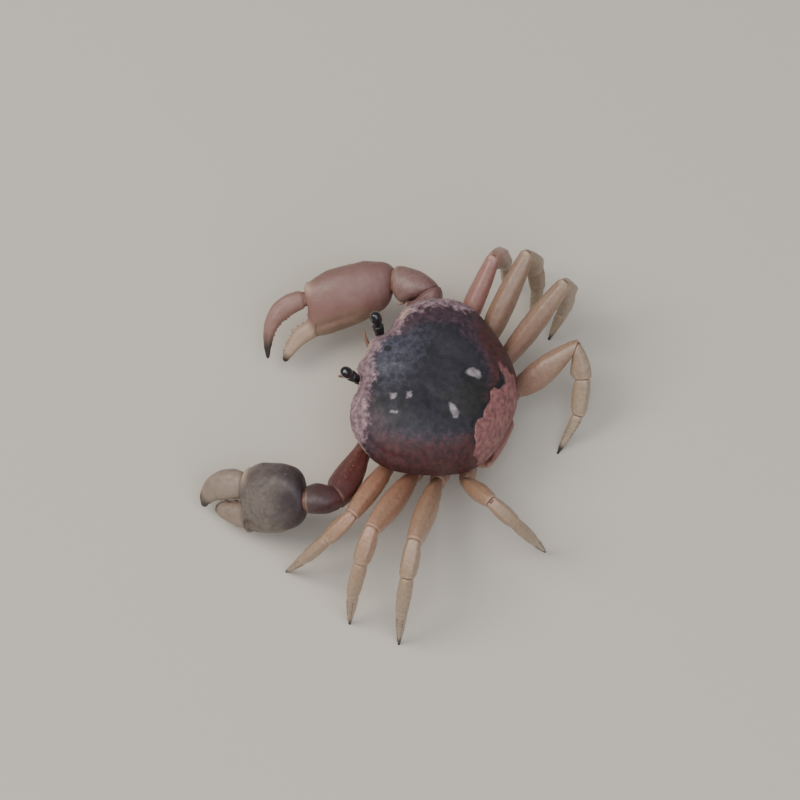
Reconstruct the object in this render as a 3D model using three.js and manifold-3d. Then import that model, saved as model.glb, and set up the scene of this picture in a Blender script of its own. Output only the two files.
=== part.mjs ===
// A land crab (Gecarcinus), life size, in a standing pose with both claws held forward.
// Units are millimetres, +Z is up, the crab faces -Y and its left side is on +X.
// Every shell piece is a closed solid of its own, with a small clear gap at each joint.

import * as THREE from 'three';
import { mergeVertices } from 'three/addons/utils/BufferGeometryUtils.js';
import Module from 'manifold-3d';

const wasm = await Module();
wasm.setup();

// ---------------------------------------------------------------- driving dimensions

const GAP = 0.3;                    // clearance between neighbouring shell pieces
const CARAPACE_WIDTH = 46;
const CARAPACE_LENGTH = 36.5;
const CARAPACE_TOP = 30.8;          // height of the crown above the floor at mid length
const CARAPACE_TILT = 0.14;         // fall of the shell towards the back, per millimetre
const CARAPACE_BOTTOM = 14;         // lower rim of the flanks
const MARGIN_HEIGHT = 20.6;         // height of the widest line at mid length
const STERNUM_BOTTOM = 6.6;         // clearance of the breast plates above the floor
const LIMB_ROOT_HEIGHT = 10.2;      // height of the coxa row
const LIMB_SIDES = 10;              // facets round a limb

// Segment lengths of the four walking legs, front pair first.
const LEG_SIZES = [
  { merus: 24.5, carpus: 8, propodus: 9, dactyl: 10.5, girth: 0.92 },
  { merus: 27, carpus: 8, propodus: 9.5, dactyl: 11, girth: 1 },
  { merus: 26, carpus: 8, propodus: 9.5, dactyl: 11, girth: 1 },
  { merus: 17.5, carpus: 7.5, propodus: 9, dactyl: 10.5, girth: 0.88 },
];

// Where each leg leaves the side of the breast plates, measured along the body.
const LEG_ROOTS = [-3.2, 2.4, 7.8, 12.8];

// Pose of each leg: where its tip stands on the floor, and how far its knee is turned
// about the line from hip to tip (degrees, positive towards the back of the crab).
const LEG_POSES = {
  L: [
    { tip: [47, -16], swivel: 26 },
    { tip: [53, 3], swivel: 0 },
    { tip: [53, 15.5], swivel: 0 },
    { tip: [17, 36], swivel: -22 },
  ],
  R: [
    { tip: [-43.5, -2], swivel: 2 },
    { tip: [-37, 8], swivel: -6 },
    { tip: [-35, 13.5], swivel: 7 },
    { tip: [-8, 28], swivel: -58 },
  ],
};

// Pose of each claw arm: elbow and wrist, and the claw's own two axes. `reach` runs from
// wrist to finger tips and `height` from the fixed finger to the moving finger. `palm`,
// `fingers` and `tall` scale the palm's length, the fingers' length and the height of the
// whole claw. `stout` is the extra thickness of its fingers, `hook` their share of full
// droop (below zero where they close upwards) and `girth` scales the arm behind them.
const ARM_POSES = {
  L: {
    elbow: [32.7, -10, 17], wrist: [36.6, -15.6, 18],
    reach: [0.076, -0.904, -0.42], height: [-0.56, -0.28, 0.78],
    palm: 0.83, fingers: 1.14, tall: 1.18, stout: 0.18, hook: -0.2, girth: 0.86,
  },
  R: {
    elbow: [-25.2, -13.6, 17], wrist: [-25.6, -22.2, 16],
    reach: [0.62, -0.77, -0.15], height: [-0.56, -0.57, 0.6],
    palm: 1.1, fingers: 1.1, tall: 1, stout: 0, hook: 1, girth: 1,
  },
};

// ---------------------------------------------------------------- shared helpers

const up = new THREE.Vector3(0, 0, 1);
const radians = THREE.MathUtils.degToRad;
const point = (x, y, z = 0) => new THREE.Vector3(x, y, z);

const shell = (color, roughness) => new THREE.MeshStandardMaterial({ color, roughness, metalness: 0 });
const materials = {
  carapace: shell('#3a3038', 0.45),
  breast: shell('#a98a74', 0.6),
  claw: shell('#8f6f66', 0.5),
  clawGrey: shell('#7d716c', 0.5),
  leg: shell('#b07a5a', 0.55),
  eye: shell('#0b0a0c', 0.15),
};

// Smooth value through evenly spaced samples, at a share from 0 to 1.
function profile(samples, share) {
  const place = share * (samples.length - 1);
  const index = Math.min(Math.floor(place), samples.length - 2);
  const local = place - index;
  const blend = local * local * (3 - 2 * local);
  return samples[index] + (samples[index + 1] - samples[index]) * blend;
}

// One ring of a limb: a superellipse round `centre`, `side` wide and `rise` high.
function ring(centre, side, rise, halfWidth, halfHeight, count = LIMB_SIDES, power = 2.4) {
  const points = [];
  for (let i = 0; i < count; i += 1) {
    const angle = (i / count) * Math.PI * 2;
    const c = Math.cos(angle);
    const s = Math.sin(angle);
    const across = Math.sign(c) * Math.abs(c) ** (2 / power) * halfWidth;
    const tall = Math.sign(s) * Math.abs(s) ** (2 / power) * halfHeight;
    points.push(centre.clone().addScaledVector(side, across).addScaledVector(rise, tall));
  }
  return points;
}

// A closed solid through rings of equal length, each end closed by a fan to its middle.
function loft(rings) {
  const count = rings[0].length;
  const middle = (points) => points.reduce((sum, p) => sum.add(p), point(0, 0, 0)).divideScalar(count);
  const vertices = [...rings.flat(), middle(rings[0]), middle(rings.at(-1))];
  const firstPole = vertices.length - 2;
  const lastPole = vertices.length - 1;
  const lastRing = (rings.length - 1) * count;
  const index = [];
  for (let i = 0; i < count; i += 1) {
    const next = (i + 1) % count;
    for (let r = 0; r < rings.length - 1; r += 1) {
      const low = r * count;
      const high = low + count;
      index.push(low + i, low + next, high + next, low + i, high + next, high + i);
    }
    index.push(firstPole, next, i, lastPole, lastRing + i, lastRing + next);
  }
  return facingOut(vertices, index);
}

// A geometry from vertices and triangles, turned so that its faces point out.
function facingOut(vertices, index) {
  let volume = 0;
  for (let t = 0; t < index.length; t += 3) {
    const [a, b, c] = [vertices[index[t]], vertices[index[t + 1]], vertices[index[t + 2]]];
    volume += a.dot(b.clone().cross(c));
  }
  const geometry = new THREE.BufferGeometry().setFromPoints(vertices);
  geometry.setIndex(volume > 0 ? index : index.reverse());
  return geometry;
}

// three.js geometry to a manifold solid and back, for the few cuts.
function solid(geometry) {
  const bare = geometry.clone();
  bare.deleteAttribute('normal');
  bare.deleteAttribute('uv');
  const merged = mergeVertices(bare, 1e-4);
  return new wasm.Manifold(new wasm.Mesh({
    numProp: 3,
    vertProperties: new Float32Array(merged.attributes.position.array),
    triVerts: new Uint32Array(merged.index.array),
  }));
}

function fromSolid(body) {
  const mesh = body.getMesh();
  const geometry = new THREE.BufferGeometry();
  geometry.setAttribute('position', new THREE.BufferAttribute(mesh.vertProperties, 3));
  geometry.setIndex(new THREE.BufferAttribute(mesh.triVerts, 1));
  return geometry;
}

function ellipsoid(centre, radii, tiltX = 0) {
  const geometry = new THREE.SphereGeometry(1, 14, 10);
  geometry.scale(radii[0], radii[1], radii[2]);
  geometry.rotateX(tiltX);
  geometry.translate(centre[0], centre[1], centre[2]);
  return geometry;
}

function mesh(name, geometry, material) {
  const piece = new THREE.Mesh(geometry, material);
  piece.name = name;
  return piece;
}

// ---------------------------------------------------------------- carapace

// Right half of the shell's edge seen from above, front to back, as shares of half the
// width and half the length: the narrow front, the eye notch, the sides swollen in front
// of mid length and the narrower back.
const MARGIN_SHARES = [
  [0, -0.985], [0.18, -0.99], [0.255, -0.9], [0.39, -0.83], [0.55, -0.84], [0.8, -0.69],
  [0.98, -0.33], [1, -0.08], [0.92, 0.22], [0.77, 0.55], [0.57, 0.82], [0.3, 0.97],
];

function carapaceMargin(count) {
  const half = MARGIN_SHARES.map(([x, y]) => point(x * CARAPACE_WIDTH / 2, y * CARAPACE_LENGTH / 2));
  const back = point(0, CARAPACE_LENGTH / 2);
  const otherHalf = half.slice(1).reverse().map((p) => point(-p.x, p.y));
  const curve = new THREE.CatmullRomCurve3([...half, back, ...otherHalf], true, 'centripetal');
  return curve.getSpacedPoints(count).slice(0, count);
}

// Height of the widest line: a little high in front, low at the back edge.
const marginHeight = (y) => MARGIN_HEIGHT - (0.11 + CARAPACE_TILT) * y - 0.0035 * y * y;

// Gentle swellings of the upper shell: gill chambers at the sides, stomach in front,
// heart behind, with shallow furrows between them.
function dorsalRelief(x, y) {
  const bump = (cx, cy, rx, ry) => Math.exp(-(((Math.abs(x) - cx) / rx) ** 2) - (((y - cy) / ry) ** 2));
  return 0.9 * bump(13, 1, 7, 9) + 0.5 * bump(0, -7, 6, 5) + 0.4 * bump(0, 8, 4.5, 4)
    - 0.5 * bump(6.5, 3, 1.8, 6) - 0.9 * bump(0, -19, 7, 4);
}

function carapaceGeometry() {
  const columns = 36;
  const rowsAbove = 8;
  const rowsBelow = 5;
  const crownPower = 2.5;
  const flankPower = 1.4;
  const lowShare = { x: 0.55, front: 0.6, back: 0.74 };
  const margin = carapaceMargin(columns);
  const rings = [];
  for (let r = 1; r <= rowsAbove; r += 1) {
    const angle = (r / rowsAbove) * Math.PI / 2;
    const spread = Math.sin(angle) ** (2 / crownPower);
    const lift = Math.max(Math.cos(angle), 0) ** (2 / crownPower);
    rings.push(margin.map((m) => {
      const x = m.x * spread;
      const y = m.y * spread;
      const edge = marginHeight(m.y);
      const top = CARAPACE_TOP - CARAPACE_TILT * y + dorsalRelief(x, y);
      return point(x, y, edge + (top - edge) * lift);
    }));
  }
  for (let r = 1; r <= rowsBelow; r += 1) {
    const angle = (r / rowsBelow) * Math.PI / 2;
    const spread = Math.max(Math.cos(angle), 0) ** (2 / flankPower);
    const drop = Math.sin(angle) ** (2 / flankPower);
    rings.push(margin.map((m) => {
      const lowY = m.y < 0 ? lowShare.front : lowShare.back;
      const x = m.x * (lowShare.x + (1 - lowShare.x) * spread);
      const y = m.y * (lowY + (1 - lowY) * spread);
      const edge = marginHeight(m.y);
      return point(x, y, edge - (edge - CARAPACE_BOTTOM) * drop);
    }));
  }
  return loft(rings);
}

// The shell with its two eye sockets and the recess of the mouth frame.
const EYE_ROOT = { x: 5.9, y: -16.4, z: 23.4 };
const MOUTH = { y: -13.6, z: 17, tilt: radians(-42) };

function cutCarapace() {
  let body = solid(carapaceGeometry());
  for (const side of [1, -1]) {
    body = body.subtract(solid(ellipsoid([side * 7.9, -17.2, 23.3], [4, 3.4, 2.5])));
  }
  body = body.subtract(solid(ellipsoid([0, MOUTH.y, MOUTH.z], [7, 6.8, 3], MOUTH.tilt)));
  return fromSolid(body);
}

// ---------------------------------------------------------------- breast, tail flap and mouth

const STERNUM = { front: -10.2, back: 14.6, halfWidths: [5.6, 9.6, 11.6, 11.9, 10.8, 7.4] };

function sternumHalfWidth(y) {
  return profile(STERNUM.halfWidths, (y - STERNUM.front) / (STERNUM.back - STERNUM.front));
}

function sternumGeometry() {
  const top = CARAPACE_BOTTOM - GAP;
  const rings = [];
  const steps = 10;
  for (let i = 0; i <= steps; i += 1) {
    const share = i / steps;
    const roundness = Math.sqrt(1 - (2 * share - 1) ** 6);
    const halfHeight = (top - STERNUM_BOTTOM) / 2 * (0.8 + 0.2 * roundness);
    const centre = point(0, STERNUM.front + (STERNUM.back - STERNUM.front) * share, top - halfHeight);
    rings.push(ring(centre, point(1, 0, 0), up, sternumHalfWidth(centre.y), halfHeight, 16, 2.8));
  }
  return loft(rings);
}

// The narrow tail flap of a male: it leaves the shell's back edge, turns under and lies
// along the breast plates.
function abdomenGeometry() {
  const path = new THREE.CatmullRomCurve3([
    point(0, 17.4, 13), point(0, 17.2, 10.2), point(0, 16, 7.3),
    point(0, 13, 5.6), point(0, 6, 5.3), point(0, -4, 5.3),
  ]);
  const halfWidths = [5, 5.4, 6.2, 5.2, 3.9, 3.2, 2.6, 1.3];
  const halfThickness = 0.8;
  const steps = 16;
  const rings = [];
  for (let i = 0; i <= steps; i += 1) {
    const share = i / steps;
    const tangent = path.getTangentAt(share);
    const side = point(1, 0, 0);
    const rise = side.clone().cross(tangent).normalize();
    rings.push(ring(path.getPointAt(share), side, rise, profile(halfWidths, share), halfThickness, 12, 3));
  }
  return loft(rings);
}

// Outer mouth leg: a flat plate on the slope of the mouth frame, leaving a gap between
// the pair.
function maxillipedGeometry(side) {
  const steps = 8;
  const halfWidths = [1.9, 2.6, 2.8, 2.5, 2.7, 2.5, 1.5];
  const start = point(side * 3.3, -11.3, 12.6);
  const end = point(side * 4.2, -17, 19.6);
  const along = end.clone().sub(start).normalize();
  const across = along.clone().cross(point(1, 0, 0)).normalize();
  const rings = [];
  for (let i = 0; i <= steps; i += 1) {
    const share = i / steps;
    const centre = start.clone().lerp(end, share);
    rings.push(ring(centre, point(1, 0, 0), across, profile(halfWidths, share), 0.65, 10, 3));
  }
  return loft(rings);
}

// ---------------------------------------------------------------- eyes and antennae

const STALK = { rise: [1.7, -2, 4.6], length: 4.2 };

function eyeAxis(side) {
  return point(side * STALK.rise[0], STALK.rise[1], STALK.rise[2]).normalize();
}

function eyestalkGeometry(side) {
  const axis = eyeAxis(side);
  const across = axis.clone().cross(up).normalize();
  const rise = across.clone().cross(axis);
  const root = point(side * EYE_ROOT.x, EYE_ROOT.y, EYE_ROOT.z);
  const radii = [0.85, 1, 0.9, 0.95, 1.15, 1.1];
  const rings = [];
  for (let i = 0; i < radii.length; i += 1) {
    const centre = root.clone().addScaledVector(axis, STALK.length * i / (radii.length - 1));
    rings.push(ring(centre, across, rise, radii[i], radii[i], 10, 2));
  }
  return loft(rings);
}

function eyeGeometry(side) {
  const halfLength = 1.75;
  const axis = eyeAxis(side);
  const root = point(side * EYE_ROOT.x, EYE_ROOT.y, EYE_ROOT.z);
  const geometry = new THREE.SphereGeometry(1, 14, 9);
  geometry.scale(1.4, halfLength, 1.35);
  geometry.applyQuaternion(new THREE.Quaternion().setFromUnitVectors(point(0, 1, 0), axis));
  const centre = root.addScaledVector(axis, STALK.length + GAP + halfLength);
  geometry.translate(centre.x, centre.y, centre.z);
  return geometry;
}

function antennaGeometry(side) {
  const path = new THREE.QuadraticBezierCurve3(
    point(side * 4.2, -17.9, 20.6),
    point(side * 5, -20.2, 21.2),
    point(side * 6.8, -21.4, 23.4),
  );
  const radii = [0.75, 0.62, 0.42, 0.34, 0.27];
  const rings = radii.map((radius, i) => {
    const share = i / (radii.length - 1);
    const tangent = path.getTangent(share);
    const across = tangent.clone().cross(up).normalize();
    return ring(path.getPoint(share), across, across.clone().cross(tangent), radius, radius, 8, 2);
  });
  return loft(rings);
}

// ---------------------------------------------------------------- jointed limbs

// Half heights along each limb segment, from its near to its far end. Half width is a
// share of it.
const SEGMENT_FORMS = {
  ischium: { heights: [2.5, 2.35, 2.2, 2.1], flat: 0.9 },
  merus: { heights: [2.1, 2.9, 3.5, 3.8, 3.7, 3.3, 2.8], flat: 0.66 },
  carpus: { heights: [2.2, 2.7, 2.8, 2.5], flat: 0.76 },
  propodus: { heights: [2, 2.2, 2.1, 1.85], flat: 0.76 },
  dactyl: { heights: [1.45, 1.4, 1.2, 0.95, 0.7, 0.4], flat: 0.85 },
};

// One segment between two joints. Its end rings lie in the planes that halve the bends,
// half a gap from the joint, so that neighbours never touch.
function segmentGeometry(form, girth, near, far, nearNormal, farNormal, side, lastRing = null) {
  const steps = form.heights.length - 1;
  const rings = [];
  for (let i = 0; i <= steps; i += 1) {
    const share = i / steps;
    const normal = nearNormal.clone().lerp(farNormal, share).normalize();
    const across = side.clone().addScaledVector(normal, -side.dot(normal)).normalize();
    const centre = near.clone().lerp(far, share);
    const halfHeight = form.heights[i] * girth;
    if (i === 0) centre.addScaledVector(normal, GAP / 2);
    if (i === steps) centre.addScaledVector(normal, -GAP / 2);
    rings.push(ring(centre, across, across.clone().cross(normal), halfHeight * form.flat, halfHeight));
  }
  if (lastRing) rings[steps] = lastRing;
  return loft(rings);
}

// The foot stands on a small flat at floor level.
function footRing(tip, side, radius) {
  const across = point(side.x, side.y).normalize();
  return ring(point(tip.x, tip.y, 0), across, across.clone().cross(point(0, 0, -1)), radius, radius);
}

// Planes that halve the bends of a chain of joints.
function jointNormals(joints) {
  const directions = joints.slice(1).map((joint, i) => joint.clone().sub(joints[i]).normalize());
  return joints.map((_, i) => {
    const before = directions[Math.max(i - 1, 0)];
    const after = directions[Math.min(i, directions.length - 1)];
    return before.clone().add(after).normalize();
  });
}

// ---------------------------------------------------------------- walking legs

const SEGMENTS = ['ischium', 'merus', 'carpus', 'propodus', 'dactyl'];
const HIP_LENGTH = 4.4;
const ROOT_CLEARANCE = 0.9;        // from the breast plates to the middle of a leg's root
const OUTER_BEND = radians(20);     // turn at each of the two outer joints

// Bent chain of the three outer segments: the chord it spans and the turn of its first
// segment away from that chord.
function outerChain(size) {
  const lengths = [size.carpus, size.propodus, size.dactyl];
  const end = new THREE.Vector2();
  lengths.forEach((length, i) => {
    end.x += length * Math.cos(i * OUTER_BEND);
    end.y += length * Math.sin(i * OUTER_BEND);
  });
  return { lengths, chord: end.length(), turn: end.angle() };
}

// Joint positions of one walking leg, found from hip and tip by its segment lengths.
function legJoints(sign, legIndex, pose) {
  const size = LEG_SIZES[legIndex];
  const along = LEG_ROOTS[legIndex];
  const tip = point(pose.tip[0], pose.tip[1]);
  const start = point(sign * (sternumHalfWidth(along) + ROOT_CLEARANCE), along, LIMB_ROOT_HEIGHT);
  const outward = tip.clone().sub(start).setZ(0).normalize();
  const hipDirection = point(sign * 1.4, outward.y * 0.6, 0.12).normalize();
  const hip = start.clone().addScaledVector(hipDirection, HIP_LENGTH);

  const chain = outerChain(size);
  const span = tip.distanceTo(hip);
  const axis = tip.clone().sub(hip).normalize();
  const foot = (size.merus ** 2 - chain.chord ** 2 + span ** 2) / (2 * span);
  const rise = Math.sqrt(size.merus ** 2 - foot ** 2);
  const lean = up.clone().addScaledVector(axis, -axis.z).normalize();
  lean.applyAxisAngle(axis, radians(pose.swivel * -sign));
  const knee = hip.clone().addScaledVector(axis, foot).addScaledVector(lean, rise);

  const side = axis.clone().cross(lean).normalize();
  const direction = tip.clone().sub(knee).normalize().applyAxisAngle(side, chain.turn);
  const joints = [start, hip, knee];
  chain.lengths.forEach((length) => {
    joints.push(joints.at(-1).clone().addScaledVector(direction, length));
    direction.applyAxisAngle(side, -OUTER_BEND);
  });
  return { joints, side };
}

function walkingLeg(sideName, legIndex) {
  const leg = new THREE.Group();
  const { girth } = LEG_SIZES[legIndex];
  const sign = sideName === 'L' ? 1 : -1;
  const { joints, side } = legJoints(sign, legIndex, LEG_POSES[sideName][legIndex]);
  const normals = jointNormals(joints);
  SEGMENTS.forEach((part, i) => {
    const form = SEGMENT_FORMS[part];
    const foot = part === 'dactyl' ? footRing(joints[i + 1], side, form.heights.at(-1) * girth) : null;
    const geometry = segmentGeometry(
      form, girth, joints[i], joints[i + 1], normals[i], normals[i + 1], side, foot,
    );
    leg.add(mesh(`leg_${sideName}${legIndex + 1}_${part}`, geometry, materials.leg));
  });
  return leg;
}

// ---------------------------------------------------------------- claw arms

// Sections of the palm and its fixed finger along the claw's reach: distance from the
// wrist, middle height, half height, half thickness and droop in degrees. The palm ends
// in a step, above which the moving finger hinges.
const PALM_SECTIONS = [
  [0.6, 0, 3.7, 3.1, 0], [2.2, 0.2, 5, 3.8, 0], [5, 0.2, 6.2, 4.5, 0], [9.5, -0.1, 6.9, 4.8, 0],
  [14, -0.3, 6.9, 4.5, 0], [17.2, -0.8, 6.4, 3.8, 0], [18.8, -1.2, 5.9, 3.2, 0],
  [19.6, -4.9, 2.5, 2.4, -8], [22, -6, 2.1, 1.9, -25], [24.4, -7.7, 1.6, 1.5, -38],
  [26.2, -9.5, 1.1, 1.1, -46], [27.4, -11, 0.5, 0.5, -50],
];
const HINGE = point(19.6, 1.8);
const DACTYL_BEND = point(28.6, 2.6);
const DACTYL_TIP = point(30.6, -9.4);
const DACTYL_HEIGHTS = [2.2, 2.5, 2.4, 2.05, 1.6, 1.1, 0.5];
const DACTYL_FLAT = 0.85;

// Finger points hang below the palm's line by a share of the full droop.
const hooked = (y, hook) => (y < -4.5 ? -4.5 + (y + 4.5) * hook : y);

// Distance from the wrist on a claw whose palm and fingers are scaled apart.
const reached = (x, pose) =>
  Math.min(x, HINGE.x) * pose.palm + Math.max(x - HINGE.x, 0) * pose.fingers;

// Thickness factor of a finger, which a stout claw carries further towards the point.
const STOUT_RISE = 1.5;
const stouter = (share, pose) => 1 + pose.stout * (1 + share * STOUT_RISE);

function palmGeometry(pose, wristNormal) {
  const rings = PALM_SECTIONS.map(([x, y, halfHeight, halfThickness, droop], i) => {
    const normal = point(Math.cos(radians(droop)), Math.sin(radians(droop) * pose.hook));
    if (i === 0) normal.lerp(wristNormal, 1);
    if (i === 1) normal.lerp(wristNormal, 0.4);
    normal.normalize();
    const side = point(0, 0, 1);
    const across = side.addScaledVector(normal, -side.dot(normal)).normalize();
    const rise = normal.clone().cross(across).negate();
    const girth = x < HINGE.x ? 1 : stouter((x - HINGE.x) / (DACTYL_TIP.x - HINGE.x), pose);
    const middle = point(reached(x, pose), hooked(y, pose.hook));
    return ring(middle, across, rise, halfThickness * girth, halfHeight * girth, 14, 2.3);
  });
  return loft(rings);
}

function clawDactylGeometry(pose) {
  const length = (x) => (x - HINGE.x) * pose.fingers;
  const path = new THREE.QuadraticBezierCurve3(
    point(0, 0),
    point(length(DACTYL_BEND.x), DACTYL_BEND.y - HINGE.y),
    point(length(DACTYL_TIP.x), hooked(DACTYL_TIP.y, pose.hook) - HINGE.y),
  );
  const steps = DACTYL_HEIGHTS.length - 1;
  const rings = DACTYL_HEIGHTS.map((height, i) => {
    const tangent = path.getTangent(i / steps);
    const across = point(0, 0, 1);
    const rise = tangent.clone().cross(across).negate();
    const halfHeight = height * stouter(i / steps, pose);
    return ring(path.getPoint(i / steps), across, rise, halfHeight * DACTYL_FLAT, halfHeight, 12, 2.2);
  });
  return loft(rings);
}

// Upper arm with its short hip segments in one piece, from the body to the elbow.
const ARM_HEIGHTS = [2.4, 2.4, 2.2, 2.7, 3.4, 3.9, 4, 3.6];
const ARM_FLAT = 0.78;

function armMerusGeometry(start, hip, elbow, elbowNormal, side, girth) {
  const path = new THREE.CatmullRomCurve3([start, hip, hip.clone().lerp(elbow, 0.5), elbow]);
  const steps = ARM_HEIGHTS.length - 1;
  const rings = ARM_HEIGHTS.map((height, i) => {
    const normal = i === steps ? elbowNormal.clone() : path.getTangentAt(i / steps);
    const across = side.clone().addScaledVector(normal, -side.dot(normal)).normalize();
    const centre = path.getPointAt(i / steps);
    if (i === steps) centre.addScaledVector(normal, -GAP / 2);
    const halfHeight = height * girth;
    return ring(centre, across, across.clone().cross(normal), halfHeight * ARM_FLAT, halfHeight, 12);
  });
  return loft(rings);
}

const CARPUS_FORM = { heights: [3.2, 3.9, 4.2, 4, 3.6], flat: 0.9 };

function clawArm(sideName) {
  const sign = sideName === 'L' ? 1 : -1;
  const pose = ARM_POSES[sideName];
  const material = sideName === 'L' ? materials.clawGrey : materials.claw;
  const start = point(sign * 8.6, -8.6, LIMB_ROOT_HEIGHT);
  const hip = point(sign * 13, -10.6, LIMB_ROOT_HEIGHT + 0.8);
  const elbow = point(...pose.elbow);
  const wrist = point(...pose.wrist);
  const reach = point(...pose.reach).normalize();
  const height = point(...pose.height);
  height.addScaledVector(reach, -height.dot(reach)).normalize();
  const palmSide = reach.clone().cross(height);
  const claw = new THREE.Group();
  claw.quaternion.setFromRotationMatrix(new THREE.Matrix4().makeBasis(reach, height, palmSide));
  claw.position.copy(wrist);

  const normals = jointNormals([hip, elbow, wrist, wrist.clone().add(reach)]);
  const localWrist = normals[2].clone().applyQuaternion(claw.quaternion.clone().invert());
  const bendSide = elbow.clone().sub(hip).cross(wrist.clone().sub(elbow)).normalize();

  const palm = palmGeometry(pose, localWrist);
  palm.scale(1, pose.tall, pose.tall);
  claw.add(mesh(`claw_${sideName}_palm`, palm, material));

  const dactylGeometry = clawDactylGeometry(pose);
  dactylGeometry.scale(1, pose.tall, pose.tall);
  const dactyl = mesh(`claw_${sideName}_dactyl`, dactylGeometry, material);
  dactyl.position.set(HINGE.x * pose.palm, HINGE.y * pose.tall, 0);
  claw.add(dactyl);

  const arm = new THREE.Group();
  const merus = armMerusGeometry(start, hip, elbow, normals[1], bendSide, pose.girth);
  arm.add(mesh(`claw_${sideName}_merus`, merus, material));
  const carpus = segmentGeometry(CARPUS_FORM, pose.girth, elbow, wrist, normals[1], normals[2], bendSide);
  arm.add(mesh(`claw_${sideName}_carpus`, carpus, material));
  arm.add(claw);
  return arm;
}

// ---------------------------------------------------------------- assembly

const body = new THREE.Group();
body.add(
  mesh('carapace', cutCarapace(), materials.carapace),
  mesh('sternum', sternumGeometry(), materials.breast),
  mesh('abdomen', abdomenGeometry(), materials.breast),
);
for (const [sideName, sign] of [['L', 1], ['R', -1]]) {
  body.add(
    mesh(`maxilliped_${sideName}`, maxillipedGeometry(sign), materials.breast),
    mesh(`eyestalk_${sideName}`, eyestalkGeometry(sign), materials.eye),
    mesh(`eye_${sideName}`, eyeGeometry(sign), materials.eye),
    mesh(`antenna_${sideName}`, antennaGeometry(sign), materials.leg),
  );
}

const crab = new THREE.Group();
crab.add(body);
for (const sideName of ['L', 'R']) {
  crab.add(clawArm(sideName));
  LEG_SIZES.forEach((_, legIndex) => crab.add(walkingLeg(sideName, legIndex)));
}

// The origin is the middle of the whole crab's footprint, at floor level.
crab.updateMatrixWorld(true);
const middle = new THREE.Box3().setFromObject(crab, true).getCenter(point(0, 0));
crab.position.set(-middle.x, -middle.y, 0);
crab.updateMatrixWorld(true);

export default crab;
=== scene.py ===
import math
import bpy
import numpy as np
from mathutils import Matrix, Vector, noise


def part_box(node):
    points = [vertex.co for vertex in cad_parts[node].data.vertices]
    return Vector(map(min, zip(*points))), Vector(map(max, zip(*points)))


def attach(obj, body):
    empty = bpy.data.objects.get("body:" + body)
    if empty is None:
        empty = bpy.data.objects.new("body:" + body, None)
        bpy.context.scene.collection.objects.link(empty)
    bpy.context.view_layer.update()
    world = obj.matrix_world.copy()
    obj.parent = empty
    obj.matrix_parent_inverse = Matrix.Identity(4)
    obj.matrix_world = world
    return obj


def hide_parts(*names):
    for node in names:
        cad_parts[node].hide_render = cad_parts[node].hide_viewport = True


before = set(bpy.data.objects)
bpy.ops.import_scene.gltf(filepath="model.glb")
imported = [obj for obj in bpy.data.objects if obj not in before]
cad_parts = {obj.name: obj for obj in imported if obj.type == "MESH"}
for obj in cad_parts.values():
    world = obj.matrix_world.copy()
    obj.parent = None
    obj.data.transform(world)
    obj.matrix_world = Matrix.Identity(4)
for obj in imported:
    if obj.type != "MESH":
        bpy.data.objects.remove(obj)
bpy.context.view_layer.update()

# Lengths below are millimetres in the crab's own frame: +Z is up from the floor, the crab faces -Y,
# its left side is on +X, and X and Y are measured from the middle of the back shell.

# ---------------------------------------- back shell
# The carapace: one domed plate of chitin hardened with lime, grown in a single piece over the gills and
# stomach. It is satin and finely pitted, blue-black on the crown, dark red at the sides and pink behind,
# with hollows in front for the eyes and the mouth legs.

SHELL_WIDTH = 46
SHELL_LENGTH = 36.5
SHELL_TOP = 30.8            # height of the crown at mid length
SHELL_MARGIN = 20.6         # height of the widest line at mid length
SHELL_RIM = 14              # height of the lower rim of the flanks
SHELL_TILT = .14            # fall of the shell towards the back, per millimetre
SHELL_COLUMNS = 360
CROWN_ROWS = 120
FLANK_ROWS = 60
EDGE_FALL = .11             # fall of the widest line towards the back, per millimetre, beyond the tilt
EDGE_SAG = .0035            # its sag at both ends, per square millimetre
CROWN_FULLNESS = .8         # 1 is an egg and less has a flatter top and steeper sides
FLANK_FULLNESS = 1.4        # 2 is round and less draws in sooner
LOW_SIDES = .55             # reach of the lower rim against the widest line: at the sides,
LOW_FRONT = .6              # in front
LOW_BACK = .74              # and behind
EDGE_ROUNDINGS = 30         # passes that round the edge between crown and flank
RIM_HEIGHT = .2             # of the raised line round the edge
EDGE_FURROW_DEPTH = .18     # of the furrow just inside it
FOLD_HEIGHT = .05           # of the wrinkles on the flanks
DRAWN_IN = .14              # keeps the raised places within the shell's own size

# What turns a place or a way on the left side into each side's own.
FLIPS = {"L": np.array([1, 1, 1]), "R": np.array([-1, 1, 1])}

# Left half of the shell's edge from above, front to back, in shares of half the width and half the length.
SHELL_EDGE = [
    [0, -.985], [.18, -.99], [.255, -.9], [.39, -.83], [.55, -.84], [.8, -.69],
    [.98, -.33], [1, -.08], [.92, .22], [.77, .55], [.57, .82], [.3, .97],
]

# Low swellings of the crown, the same on both sides: height, centre and radii.
SWELLINGS = [
    (.9, (13, 1), (7, 9)), (.5, (0, -7), (6, 5)), (.4, (0, 8), (4.5, 4)), (-.15, (6.5, 3), (2.4, 7)),
    (-.9, (0, -19), (7, 4)),
]

# Furrows between the regions of the shell, on one side: the points each runs through, half width, depth.
FURROWS = [
    ([[4.6, -.8], [7, -4.2], [10.5, -7.2], [15, -8.8]], 1.1, .07),
    ([[4.6, -.8], [5.6, 2.6], [5.2, 6.6], [7.4, 11]], 1, .1),
    ([[8.8, 9.8], [13.5, 11.6], [18.5, 10.6]], 1.1, .08),
]

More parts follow.
